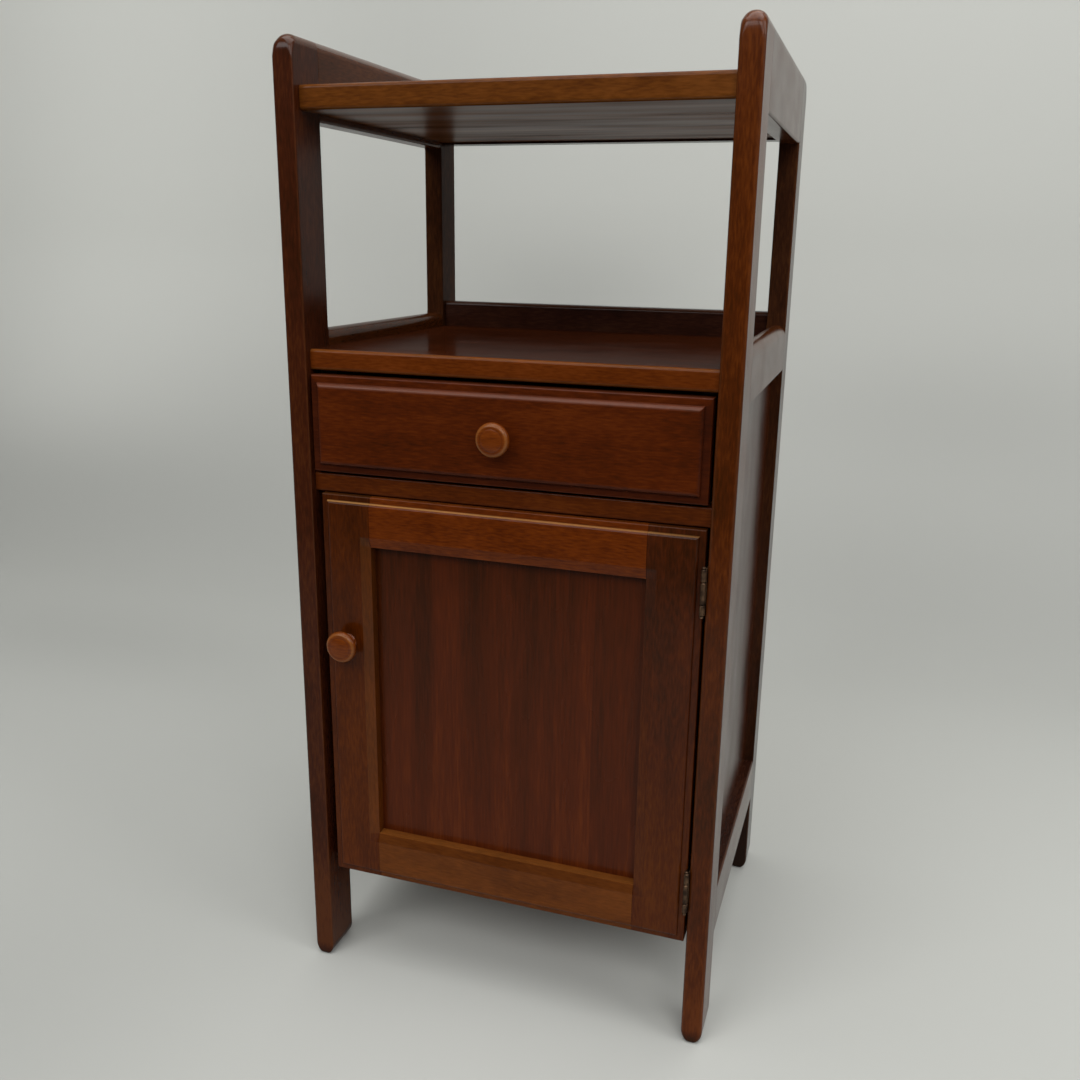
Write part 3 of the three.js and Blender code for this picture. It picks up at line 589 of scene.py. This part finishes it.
# Faces have the finish of a crest or a ledge where the normal's Z part is above these
POST_CREST = 0.12
RAIL_CREST = 0.3
RAIL_LEDGE = 0.9

# Place of the first noise of posts and of rails, and the steps to the next side and piece
POST_PLACES = np.array([(3.1, 1.7, 0), (7, 0, 0.3), (0, 5, 1)])
RAIL_PLACES = np.array([(5.3, 0, 4.1), (3, 0, 0), (0, 2.9, 3)])

# Heights at which no rail joins a post: the foot and the open bay
FREE = [(0.0, sizes["left_bottom_rail"][0][2]),
        (sizes["left_middle_rail"][1][2], sizes["left_top_rail"][0][2])]


def frame_post(i, side, j, where):
    """A post of a side frame. Its top, which hands have polished, shines more than its faces."""
    node = f"{side}_{where}_post"
    front = where == "front"
    tones = (LEFT_POST_TONES, RIGHT_POST_TONES)[i] if front else REAR_POST_TONES
    fades = (SOLE_SHADE, FOOT_BOUNCE_LIGHT, RIGHT_FADE)[:2 + i] if front else (SOLE_SHADE, REAR_FADE)
    place = (1, i, j) @ POST_PLACES
    shared = {"wear_and_light": 0.1, "fades": fades, "film": FRAME_FILM[i][j]}
    wood = stained_wood(f"stained_beech_{node}", "z", tones, place, **shared)
    crest = stained_wood(f"stained_beech_{node}_crest", "z", tones, place, rough=0.19, gloss=0.2,
                         **shared)
    door_side = DOOR_SIDE_ARRIS if node == "left_front_post" else POST_ARRIS
    shell = post_shell(*sizes[node], front, FREE, (POST_ARRIS, door_side))
    piece = make_piece(node + "_shaped", [shell], [wood, crest], "stand", [node])
    pick_finish(piece, lambda n: n[:, 2] > POST_CREST)


def frame_rail(i, side, j, where):
    """A rail of a side frame. A top rail has a polished crest, a bottom rail a dull, dark ledge."""
    node = f"{side}_{where}_rail"
    place = (1, i, j) @ RAIL_PLACES
    gloss = 0.18 if where == "bottom" else 0.12
    materials = [stained_wood(f"stained_beech_{node}", "y", RAIL_TONES, place, wear_and_light=0.03,
                              film=FRAME_FILM[i][0], gloss=gloss)]
    if where == "top":
        materials.append(stained_wood(f"stained_beech_{node}_crest", "y", RAIL_TONES, place,
                                      rough=0.17, wear_and_light=0.03, gloss=0.5))
    elif where == "bottom":
        materials.append(stained_wood(f"stained_beech_{node}_ledge", "y", UPSTAND_TONES, place,
                                      film=0.9))
    upper = RAIL_ARRIS if where == "bottom" else TOP_ROUND
    shell = bar_shell(*sizes[node], "y", [RAIL_ARRIS, RAIL_ARRIS, upper, upper])
    piece = make_piece(node + "_shaped", [shell], materials, "stand", [node])
    if where != "middle":
        limit = RAIL_CREST if where == "top" else RAIL_LEDGE
        pick_finish(piece, lambda n: n[:, 2] > limit)


for i, side in enumerate(("left", "right")):
    for j, where in enumerate(("front", "rear")):
        frame_post(i, side, j, where)
    for j, where in enumerate(("top", "middle", "bottom")):
        frame_rail(i, side, j, where)

# Shelves and the pieces across

FRONT_ROUND = [SHELF_ARRIS, EASED_EDGE, EASED_EDGE, SHELF_ARRIS]
BACK_ROUND = [EASED_EDGE, EASED_EDGE, BACK_RAIL_ARRIS, BACK_RAIL_ARRIS]
DIVIDER_ROUND = [DIVIDER_ARRIS, EASED_EDGE, EASED_EDGE, DIVIDER_ARRIS]

# Below these Z and Y parts of the normal, a face of a shelf is its underside or its front edge
UNDER_LIMIT, EDGE_LIMIT = -0.9, -0.2


def board(node, radii, materials):
    """A board between the sides, with its grain across the stand."""
    shell = bar_shell(*sizes[node], "x", radii)
    return make_piece(node + "_shaped", [shell], materials, "stand", [node])


def shelf(node, edge_tones, wear_and_light, place):
    """A shelf in three finishes: polished top, warmer front edge and thinly coated underside."""
    top = stained_wood(f"stained_beech_{node}", "x", SHELF_TONES, place, rough=0.16, film=0.15,
                       wear_and_light=wear_and_light)
    edge = stained_wood(f"stained_beech_{node}_edge", "x", edge_tones, place[::-1],
                        rubbed_and_lit_tone="b07a3c", wear_and_light=wear_and_light, gloss=0.09)
    under = stained_wood(f"stained_beech_{node}_under", "x", UNDER_TONES, place, rough=0.3,
                         shares=(0.5, 0.2, 0.1), gloss=0.1, film=0.66, patchy=0.28, length=4.0,
                         relief=0.5)
    piece = board(node, FRONT_ROUND, [top, edge, under])
    pick_finish(piece, lambda n: np.where(n[:, 2] < UNDER_LIMIT, 2, n[:, 1] < EDGE_LIMIT))


shelf("top_shelf", TOP_EDGE_TONES, 0.02, (1.3, 4.4, 7.9))
shelf("middle_shelf", MIDDLE_EDGE_TONES, 0.12, (8.3, 2.4, 3.9))
for node, radii, tones, place in (
        ("drawer_divider", DIVIDER_ROUND, DIVIDER_TONES, (2.2, 6.1, 5.2)),
        ("back_top_rail", BACK_ROUND, UPSTAND_TONES, (4.7, 8.8, 1.2)),
        ("back_middle_rail", BACK_ROUND, UPSTAND_TONES, (6.4, 3.3, 9.2)),
        ("back_bottom_rail", SQUARE, RAIL_TONES, (7.1, 5.9, 2.8))):
    wood = stained_wood(f"stained_beech_{node}", "x", tones, place, wear_and_light=0.1)
    board(node, radii, [wood])

# Moulded faces

# How far the wear of an arris reaches, in arris radii
ARRIS_SPREAD = 1.3


def edge_distance(x, z, low, high):
    """Distance to the nearest of the four sides of a face."""
    return np.minimum.reduce([x - low[0], high[0] - x, z - low[2], high[2] - z])


def moulded_wear_and_light(x, z, low, high, border, rise, crown, shade_and_stain, arris):
    """Where a moulded edge is paler, above nought, and where it is darker, below nought.

    The outer arris is scuffed paler where hands and dusters pass, and the crown of the upper ovolo,
    which faces the light, carries a painted highlight line. The border and the ovolos at the sides
    and the foot are darker, from pooled stain and painted shade. The crown is a distance over the
    ovolo and the width of the highlight line, as shares of the rise.
    """
    distance = edge_distance(x, z, low, high)
    on_arris = arris * np.clip(1 - distance / (ARRIS_SPREAD * SLAB_ARRIS), 0, 1)
    line = np.clip(1 - np.abs(distance - border - crown[0] * rise) / (crown[1] * rise), 0, 1)
    upper = high[2] - z <= distance + EASED_EDGE
    dark = shade_and_stain * np.clip((border + rise - distance) / rise, 0, 1)
    return np.where(upper, np.maximum(line, on_arris), on_arris - dark)


# Drawer front

drawer_low, drawer_high = sizes["drawer_front"]
drawer_lines, drawer_depths = edge_lines(DRAWER_BORDER, DRAWER_RISE)


def drawer_depth(x, z):
    """Depth of the drawer front: the moulded edge by distance, and the field inside it."""
    distance = edge_distance(x, z, drawer_low, drawer_high)
    return drawer_low[1] + np.interp(distance, drawer_lines, drawer_depths)


def drawer_wear_and_light(x, z):
    """Paler and darker places of the drawer front: scuffing, painted highlight, stain and painted
    shade.
    """
    return moulded_wear_and_light(x, z, drawer_low, drawer_high, DRAWER_BORDER, DRAWER_RISE,
                        crown=(0.5, 0.6), shade_and_stain=0.5, arris=0.25)


drawer_xs, drawer_zs = (np.r_[drawer_low[k] + drawer_lines, drawer_high[k] - drawer_lines]
                        for k in (0, 2))
drawer_middle = ((drawer_low + drawer_high) / 2)[[0, 2]]
drawer_wood = stained_wood("stained_beech_drawer", "x", DRAWER_TONES, (2.6, 1.1, 4.5),
                           rubbed_and_lit_tone="8c6252", gloss=0.09)
drawer_shell = slab_shell(drawer_xs, drawer_zs, drawer_depth, drawer_wear_and_light, drawer_high[1],
                          drawer_middle)
make_piece("drawer_front_shaped", [drawer_shell], [drawer_wood], "drawer",
           ["drawer_front"])

# Door

door_low = np.min([sizes["door_left_stile"][0], sizes["door_right_stile"][0]], axis=0)
door_high = np.max([sizes["door_left_stile"][1], sizes["door_right_stile"][1]], axis=0)
opening_low = np.array([sizes["door_left_stile"][1][0], 0, sizes["door_bottom_rail"][1][2]])
opening_high = np.array([sizes["door_right_stile"][0][0], 0, sizes["door_top_rail"][0][2]])
door_field = sizes["door_left_stile"][0][1]
door_lines, door_depths = edge_lines(DOOR_BORDER, DOOR_RISE)
bevel_lines = np.array([-GUARD, 0, GUARD, 2 * GUARD, BEVEL_WIDTH - GUARD, BEVEL_WIDTH,
                        BEVEL_WIDTH + GUARD])
door_middle = ((opening_low + opening_high) / 2)[[0, 2]]

# Where the painted highlight of the door's crown and the scuffed arris fade towards the hinges, and
# what is left of them
HINGE_FADE = (0.09, 0.15, 0.4)

# Painted highlight on the lip round the panel, on the bottom rail, which faces up to the light, and
# elsewhere, the left bevel paler from handling, and how much darker the lower bevel is drawn
LOWER_LIP_HIGHLIGHT, LIP_HIGHLIGHT, LEFT_BEVEL_WEAR, LOWER_BEVEL_DARKENING = 0.09, 0.02, 0.045, 0.3


def bevel_reach(x, z):
    """How far a point lies outside the panel's opening, along X or Z, whichever is more."""
    return np.maximum.reduce([opening_low[0] - x, x - opening_high[0], opening_low[2] - z,
                              z - opening_high[2]])


def door_depth(x, z):
    """Depth of the door frame: the moulded outer edge plus the bevel round the panel."""
    outer = np.interp(edge_distance(x, z, door_low, door_high), door_lines, door_depths)
    inner = BEVEL_DEPTH * np.clip(1 - bevel_reach(x, z) / BEVEL_WIDTH, 0, 1)
    return door_field + outer + inner


def door_wear_and_light(x, z):
    """Scuffing and painted light of the door frame: its moulded edge, a painted highlight on the
    bevel's inner edge, strongest on the bottom rail, where the bevel faces up, and its side by the
    knob, paler from handling.

    The lower bevel is drawn darker.
    """
    reach = bevel_reach(x, z)
    lip_highlight_gain = np.where(z < opening_low[2], LOWER_LIP_HIGHLIGHT, LIP_HIGHLIGHT)
    lip_highlight = np.clip(1 - reach / (2 * GUARD), 0, 1) * lip_highlight_gain
    on_bevel = reach < BEVEL_WIDTH + EASED_EDGE
    left = (opening_low[0] - x >= reach - EASED_EDGE) & on_bevel
    lower = (opening_low[2] - z >= reach - EASED_EDGE) & on_bevel
    outer = moulded_wear_and_light(x, z, door_low, door_high, DOOR_BORDER, DOOR_RISE,
                         crown=(0.1, 0.25), shade_and_stain=0.1, arris=0.06)
    kept = outer * np.interp(x, HINGE_FADE[:2], [1, HINGE_FADE[2]])
    dark = LOWER_BEVEL_DARKENING * (lower & (lip_highlight <= 0))
    return np.maximum.reduce([lip_highlight, kept, LEFT_BEVEL_WEAR * left]) + np.minimum(outer, 0) - dark


def lines_between(low, high, k):
    """Grid lines of a door part along axis k: its ends and the turns that lie between them."""
    lines = np.r_[door_low[k] + door_lines, door_high[k] - door_lines,
                  opening_low[k] - bevel_lines, opening_high[k] + bevel_lines]
    return np.r_[low, lines[(lines > low) & (lines < high)], high]


def door_part(node, grain, tones, place):
    """One stile or rail of the door, cut from the relief of the whole door at its joints."""
    low, high = sizes[node]
    low, high = low + [JOINT_LINE / 2, 0, 0], high - [JOINT_LINE / 2, 0, 0]
    xs, zs = (lines_between(low[k], high[k], k) for k in (0, 2))
    wood = stained_wood(f"stained_beech_{node}", grain, tones, place, rubbed_and_lit_tone="b8864e", wear_and_light=0.7,
                        fades=(DOOR_BOUNCE_AND_SHADE,))
    shell = slab_shell(xs, zs, door_depth, door_wear_and_light, high[1], door_middle)
    return make_piece(node + "_shaped", [shell], [wood], "door", [node])


door_part("door_left_stile", "z", STILE_LEFT_TONES, (1.9, 3.7, 8.1))
right_stile = door_part("door_right_stile", "z", STILE_RIGHT_TONES, (6.2, 2.7, 5.5))
door_part("door_top_rail", "x", DOOR_TOP_TONES, (4.4, 9.1, 2.3))
door_part("door_bottom_rail", "x", DOOR_BOTTOM_TONES, (3.6, 5.2, 7.4))

# Turned knobs

knob_low, knob_high = sizes["drawer_knob"]
KNOB_RADIUS = (knob_high[0] - knob_low[0]) / 2
KNOB_REACH = knob_high[1] - knob_low[1]
KNOB_RIM = 4 * MM
KNOB_DOME = 1 * MM
KNOB_SIDES = 72
KNOB_SMOOTH = 60
FLARE_POINTS, SWELL_POINTS, RIM_POINTS, FACE_POINTS = 8, 12, 10, 24

# The foot flares out from the neck by a decaying exponential, up to the neck's height
NECK_RADIUS = 6.2 * MM
NECK_HEIGHT = 4.2 * MM
FOOT_FLARE = 1.8 * MM
FLARE_DECAY = 4
SWELL_POWER = 0.8

# Ring cut into the face, and the painted shade in its groove: how dark and how wide
RING_RADIUS = 9.4 * MM
RING_WIDTH = 0.5 * MM
RING_DEPTH = 0.15 * MM
RING_SHADE = 0.3
RING_SHADE_WIDTH = 0.7 * MM

# Pale band round the rim, scuffed by hands and carrying a painted highlight: how far in from the
# radius, and half its width
RIM_BAND_INSET = 1.8 * MM
RIM_BAND_WIDTH = 1.6 * MM


def knob_profile():
    """Radius and height of a turned knob, from its base to the middle of its face.

    A flared foot narrows to a neck, the head swells out in a smooth half wave to a rounded rim,
    which is a quarter circle, and the face is a shallow dome with a fine ring cut into it.
    """
    flare = NECK_RADIUS + FOOT_FLARE * np.exp(-np.linspace(0, FLARE_DECAY, FLARE_POINTS))
    foot = np.stack([flare, np.linspace(0, NECK_HEIGHT, FLARE_POINTS)], 1)
    wave = np.linspace(0, 1, SWELL_POINTS)[1:]
    swell = flare[-1] + (KNOB_RADIUS - flare[-1]) * (1 - np.cos(wave * math.pi)) / 2
    rim_start = KNOB_REACH - KNOB_DOME - KNOB_RIM
    rise = NECK_HEIGHT + wave ** SWELL_POWER * (rim_start - NECK_HEIGHT)
    turn = np.linspace(0, QUARTER, RIM_POINTS)[1:]
    rim = KNOB_RADIUS - KNOB_RIM * (1 - np.cos(turn))
    rim_height = rim_start + KNOB_RIM * np.sin(turn)
    face = np.linspace(rim[-1], 0, FACE_POINTS)[1:]
    dome = KNOB_REACH - KNOB_DOME * (face / rim[-1]) ** 2
    ring = RING_DEPTH * np.exp(-((face - RING_RADIUS) / RING_WIDTH) ** 2)
    body = np.stack([np.r_[swell, rim, face], np.r_[rise, rim_height, dome - ring]], 1)
    return np.concatenate([[[0, 0]], foot, body])


def knob(node, body, place):
    """A knob turned across the grain, its pores showing as flecks on the face."""
    low, high = sizes[node]
    centre = np.array([(low[0] + high[0]) / 2, high[1], (low[2] + high[2]) / 2])
    wood = stained_wood(f"turned_beech_{node}", "x", KNOB_TONES, place, rough=0.24,
                        rubbed_and_lit_tone="cc9250", wear_and_light=0.15, gloss=0.18)
    profile = knob_profile()
    radius = profile[:, 0]
    # The rim band is paler, scuffed by hands and painted as a highlight, and the ring's groove is
    # darker with painted shade
    wear_and_light = np.clip(1 - np.abs(radius - KNOB_RADIUS + RIM_BAND_INSET) / RIM_BAND_WIDTH, 0, 1)
    wear_and_light -= RING_SHADE * np.clip(1 - np.abs(radius - RING_RADIUS) / RING_SHADE_WIDTH, 0, 1)
    shell = turned_shell(profile, centre, (0, -1, 0), KNOB_SIDES, wear_and_light)
    make_piece(node + "_turned", [shell], [wood], body, [node], smooth=KNOB_SMOOTH)


knob("drawer_knob", "drawer", (5.1, 2.2, 3.3))
knob("door_knob", "door", (2.8, 7.2, 6.6))

# Butt hinges: rolled knuckles on flat leaves, and a pin with ball tips

brass = aged_metal("tarnished_brass_hinge", ("2d2017", "614a37"), 0.85, 0.36, spot=7)
KNUCKLE_SHARES = (0.0, 0.24, 0.72, 1.0)
KNUCKLE_RADIUS = 2 * MM
KNUCKLE_GAP = 0.7 * MM
KNUCKLE_CHAMFER = 0.5 * MM
LEAF_THICKNESS = 1.0 * MM
PIN_RADIUS = 0.9 * MM
BALL_RADIUS = 1.7 * MM
BALL_REACH = 1.9 * MM
LEAF_START = 2.8 * MM
HINGE_SIDES = 32
BALL_POINTS = 9
stile_right = sizes["door_right_stile"][1][0]


def leaf_shells(pin, right, back, z0, z1, first):
    """A leaf's plate, and every second knuckle from the first, with the web that carries it."""
    left, start = right - LEAF_THICKNESS, pin[1] + LEAF_START
    shells = [bar_shell((left, start, z0), (right, back, z1), "z", SQUARE, inset=0)]
    for k in range(first, len(KNUCKLE_SHARES) - 1, 2):
        foot = z0 + (z1 - z0) * KNUCKLE_SHARES[k] + KNUCKLE_GAP / 2
        tall = (z1 - z0) * (KNUCKLE_SHARES[k + 1] - KNUCKLE_SHARES[k]) - KNUCKLE_GAP
        r, c = KNUCKLE_RADIUS, KNUCKLE_CHAMFER
        profile = [(0, 0), (r - c, 0), (r, c), (r, tall - c), (r - c, tall), (0, tall)]
        shells.append(turned_shell(profile, (*pin, foot), (0, 0, 1), HINGE_SIDES))
        web_high = (right, start + LEAF_THICKNESS, foot + tall)
        shells.append(bar_shell((left, pin[1], foot), web_high, "z", SQUARE, inset=0))
    return shells


def pin_shell(pin, foot, length):
    """A hinge pin: a ball, a straight length and the same ball again, turned about Z."""
    turn = np.linspace(0, math.pi, BALL_POINTS)
    cap = np.stack([BALL_RADIUS * np.sin(turn), BALL_REACH / 2 * (1 - np.cos(turn))], 1)[:-1]
    half = np.concatenate([cap, [[PIN_RADIUS, BALL_REACH]]])
    profile = np.concatenate([half, (half * [1, -1] + [0, length])[::-1]])
    return turned_shell(profile, (*pin, foot), (0, 0, 1), HINGE_SIDES)


def hinge(name):
    """One butt hinge: two leaves, a pin, and the pocket for it in the door's stile."""
    pin_low, pin_high = sizes[f"{name}_pin"]
    pin = (pin_low[:2] + pin_high[:2]) / 2
    (_, _, z0), (frame_right, frame_back, z1) = sizes[f"{name}_frame_leaf"]
    door_back = sizes[f"{name}_door_leaf"][1][1]
    for leaf, body, right, back, first in (("frame", "stand", frame_right, frame_back, 0),
                                           ("door", "door", stile_right, door_back, 1)):
        node = f"{name}_{leaf}_leaf"
        shells = leaf_shells(pin, right, back, z0, z1, first)
        make_piece(node + "_shaped", shells, [brass], body, [node])
    shell = pin_shell(pin, pin_low[2], pin_high[2] - pin_low[2])
    make_piece(f"{name}_pin_shaped", [shell], [brass], "stand", [f"{name}_pin"])
    cut_pocket(right_stile, (stile_right - LEAF_THICKNESS - JOINT_LINE, door_field - DOOR_RISE,
                             z0 - JOINT_LINE),
               (stile_right + LEAF_THICKNESS, door_back + JOINT_LINE, z1 + JOINT_LINE))


hinge("upper_hinge")
hinge("lower_hinge")

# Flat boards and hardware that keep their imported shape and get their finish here

# Boards of the door panel: first and last edge in mm from the left of the stand, and the tone at
# each edge from dark 0 to light 255
PANEL_BOARDS = [(60, 106, 60, 96), (106, 122, 66, 92), (122, 150, 140, 182), (150, 198, 96, 158),
                (198, 236, 146, 92), (236, 270, 176, 192), (270, 322, 100, 140)]
boards = [(start * MM + cad_low[0], end * MM + cad_low[0], first, last)
          for start, end, first, last in PANEL_BOARDS]
panel_wood = stained_wood("veneered_panel_door", "z", PANEL_TONES, (3.3, 1.4, 2.2), rough=0.26,
                          shares=(0.22, 0.22, 0.06), boards=boards, length=3.0,
                          fades=(DOOR_BOUNCE_AND_SHADE,))
side_wood = stained_wood("veneered_panel_side", "z", SIDE_TONES, (7.7, 4.1, 5.8), relief=0.0)
bottom_wood = stained_wood("stained_board_bottom", "x", PANEL_TONES, (1.1, 6.6, 3.1), rough=0.4)
plain = bare_wood("planed_beech_drawer_box", "y", ("a3794a", "c39a68"), 0.62)
# The guides are drawn dark brown: painted shade, where they show in the dark inside the carcass
guide = bare_wood("beech_guides_in_painted_shade", "y", ("2c180c", "402414"), 0.5)
ply = bare_wood("birch_plywood", "x", ("9c7446", "b88d5b"), 0.68)
back_ply = bare_wood("birch_plywood_back", "z", ("8e6a40", "ab8251"), 0.7)
steel = aged_metal("zinc_plated_steel", ("7c7c78", "b0b0aa"), 1.0, 0.34)
catch = aged_metal("moulded_brown_plastic", ("34221a", "4a3226"), 0.0, 0.48)

FINISHES = {
    "door_panel": panel_wood, "left_side_panel": side_wood, "right_side_panel": side_wood,
    "bottom_board": bottom_wood, "back_panel": back_ply, "drawer_bottom": ply,
    "drawer_left_wall": plain, "drawer_right_wall": plain, "drawer_back_wall": plain,
    "left_drawer_runner": guide, "right_drawer_runner": guide, "left_drawer_kicker": guide,
    "right_drawer_kicker": guide, "drawer_knob_screw": steel, "door_knob_screw": steel,
    "catch_strike": steel, "catch_body": catch,
}
FINISHES |= {node: brass for node in nodes if "hinge" in node and "screw" in node}
for node, material in FINISHES.items():
    nodes[node].data.materials.clear()
    nodes[node].data.materials.append(material)

# Floor and backdrop: one pale sweep of matt cloth. Its front edge, the start of its bend, the
# bend's radius, its top and half its width are in metres.

SWEEP_TONE = "bcbdb8"
SWEEP_FRONT, SWEEP_BEND, SWEEP_RADIUS, SWEEP_TOP, SWEEP_HALF = -1.3, 0.75, 0.7, 3.4, 3.2
SWEEP_LINES, STRAIGHT_POINTS, BEND_POINTS = 97, 40, 25

# Shade of the cloth, and what it gains or loses: the dip at the bend with its place along the path
# and half width, the others with where they start and end along the path or across X
BASE_SHADE = 0.84
BEND_DIP = (0.13, 1.08, 0.42)
WALL_RISE = (0.17, 1.45, 2.0)
LEFT_RISE, LEFT_ACROSS, LEFT_ALONG = 0.5, (0.7, 1.9), (1.1, 1.8)
FRONT_RISE, FRONT_WIDTH, FRONT_ALONG = 0.1, 0.22, (-0.1, 0.4)
FLOOR_DIP, FLOOR_ACROSS, FLOOR_ALONG = 0.06, (0.2, 0.6), (0.3, 0.9)

# Painted light and shade on the hung cloth: a paler patch up the left, darker patches on the floor
# and up the right, and a painted shadow on the cloth behind the open bay. Each holds its gain, then
# place and half width along X, then both along the path, in metres
PAINTED_CLOTH_PATCHES = [(0.18, -1.85, 0.5, 1.33, 0.28), (-0.1, -0.95, 0.35, 0.45, 0.16),
               (-0.15, -0.43, 0.28, -0.36, 0.22), (-0.18, -0.43, 0.3, 1.7, 0.13),
               (-0.08, 0.45, 0.4, 1.5, 0.16)]


def ease(value, start, end):
    """A smooth step from start to end: three times a share's square less twice its cube."""
    share = np.clip((value - start) / (end - start), 0, 1)
    return share * share * (3 - 2 * share)


def bell(value, place, width):
    """A bell curve: e to minus the square of how many widths a value lies from the place."""
    return np.exp(-((value - place) / width) ** 2)


def cloth_shade(across, path):
    """Shade of the cloth at a place across X and along its path.

    It dips along the bend, where the hung cloth turns away from the lamps, and rises again up the
    wall. It is painted paler up the left and on the floor in front of the stand, where this
    lightens the stand's shadow, and darker on the floor to the left. Each painted patch is a bell
    curve across
    X times a bell curve along the path.
    """
    shade = BASE_SHADE - BEND_DIP[0] * bell(path, *BEND_DIP[1:])
    shade += WALL_RISE[0] * ease(path, *WALL_RISE[1:])
    shade += LEFT_RISE * ease(-across, *LEFT_ACROSS) * ease(path, *LEFT_ALONG)
    shade += FRONT_RISE * bell(across, 0, FRONT_WIDTH) * (1 - ease(path, *FRONT_ALONG))
    shade -= FLOOR_DIP * ease(-across, *FLOOR_ACROSS) * (1 - ease(path, *FLOOR_ALONG))
    for gain, x_place, x_width, place, width in PAINTED_CLOTH_PATCHES:
        shade *= 1 + gain * bell(across, x_place, x_width) * bell(path, place, width)
    return shade


def cloth_material():
    """Matt cloth, its tone multiplied by the shade that each point keeps."""
    material, tree = new_material("matt_cloth_sweep")
    shade = add(tree, "Attribute", attribute_name="shade").outputs["Fac"]
    colour = add(tree, "Mix", {0: 1.0, 6: linear(SWEEP_TONE), 7: shade}, data_type="RGBA",
                 blend_type="MULTIPLY", clamp_result=False)
    shader = add(tree, "BsdfPrincipled", {"Base Color": colour.outputs[2], "Roughness": 0.9})
    add(tree, "OutputMaterial", {"Surface": shader})
    return material


def sweep():
    """The floor runs back, bends up a quarter circle and goes on as a wall: a path carried on X."""
    turn = np.linspace(0, QUARTER, BEND_POINTS)[1:-1]
    flat = np.linspace(SWEEP_FRONT, SWEEP_BEND, STRAIGHT_POINTS)
    wall = np.linspace(SWEEP_RADIUS, SWEEP_TOP, STRAIGHT_POINTS)
    y = np.r_[flat, SWEEP_BEND + SWEEP_RADIUS * np.sin(turn), 0 * wall + SWEEP_BEND + SWEEP_RADIUS]
    z = np.r_[0 * flat, SWEEP_RADIUS * (1 - np.cos(turn)), wall]
    along = np.r_[0, np.cumsum(np.hypot(np.diff(y), np.diff(z)))] + SWEEP_FRONT
    x = np.linspace(-SWEEP_HALF, SWEEP_HALF, SWEEP_LINES)
    across, path = np.meshgrid(x, along, indexing="ij")
    points = np.stack([across, np.broadcast_to(y, path.shape), np.broadcast_to(z, path.shape)], -1)
    index = np.arange(path.size).reshape(path.shape)
    faces = np.stack([index[:-1, :-1], index[1:, :-1], index[1:, 1:], index[:-1, 1:]], -1)
    mesh = new_mesh("sweep", points.reshape(-1, 3), faces.reshape(-1, 4).tolist())
    store(mesh, "shade", cloth_shade(across, path).ravel())
    mesh.shade_smooth()
    mesh.materials.append(cloth_material())
    floor = new_object("sweep", mesh)


sweep()

# Light

# Softboxes: name, place, width, height and watts. All face the same point.
AIM = Vector((0, 0, 0.42))
LAMPS = (("key", (-0.9, -2.2, 2.1), 1.8, 1.2, 34), ("second_key", (1.1, -2.1, 2.0), 1.6, 1.2, 30),
         ("right_fill", (2.1, -0.4, 1.8), 1.4, 1.4, 18), ("top", (0.1, -0.2, 2.9), 2.8, 2.4, 64))

for name, place, width, height, watts in LAMPS:
    lamp = bpy.data.lights.new(name, "AREA")
    lamp.shape, lamp.size, lamp.size_y, lamp.energy = "RECTANGLE", width, height, watts
    item = new_object(name, lamp)
    item.location = place
    item.rotation_euler = (AIM - Vector(place)).to_track_quat("-Z", "Y").to_euler()

# The room is dim in front and paler behind, and the camera sees it as pale as the cloth
ROOM_TONE, PALE_TONE = "d8d9d6", "c3c4c0"
ROOM_DEPTHS, ROOM_STRENGTHS = (-0.35, 0.6), (0.12, 0.36)

world = bpy.data.worlds.new("studio")
bpy.context.scene.world = world
world.use_nodes = True
room = world.node_tree
room.nodes.clear()
around = add(room, "TexCoord").outputs["Generated"]
depthwise = add(room, "SeparateXYZ", {"Vector": around}).outputs["Y"]
strength = add(room, "MapRange", [depthwise, *ROOM_DEPTHS, *ROOM_STRENGTHS])
dim = add(room, "Background", {"Color": linear(ROOM_TONE), "Strength": strength})
pale = add(room, "Background", {"Color": linear(PALE_TONE), "Strength": 1.0})
seen = add(room, "LightPath").outputs["Is Camera Ray"]
mixed = add(room, "MixShader", [seen, dim, pale])
add(room, "OutputWorld", {"Surface": mixed})

# Camera, fitted to the photograph: its place, its axes, its lens in mm and its shifts

CAMERA_PLACE = (0.28901, -0.91280, 0.67581)
RIGHT = (0.94947, 0.31351, 0.01471)
UP = (-0.09679, 0.24792, 0.96393)
BACK = (0.29856, -0.91665, 0.26574)
SENSOR_WIDTH, FOCAL_LENGTH = 36, 34.639
SHIFT_X, SHIFT_Y = -0.00551, -0.01080

camera = bpy.data.cameras.new("camera")
camera.sensor_width, camera.lens = SENSOR_WIDTH, FOCAL_LENGTH
camera.shift_x, camera.shift_y = SHIFT_X, SHIFT_Y
viewer = new_object("camera", camera)
axes = Matrix((RIGHT, UP, BACK)).transposed().to_4x4()
viewer.matrix_world = Matrix.Translation(CAMERA_PLACE) @ axes
bpy.context.scene.camera = viewer

bpy.context.scene.view_settings.view_transform = "Standard"
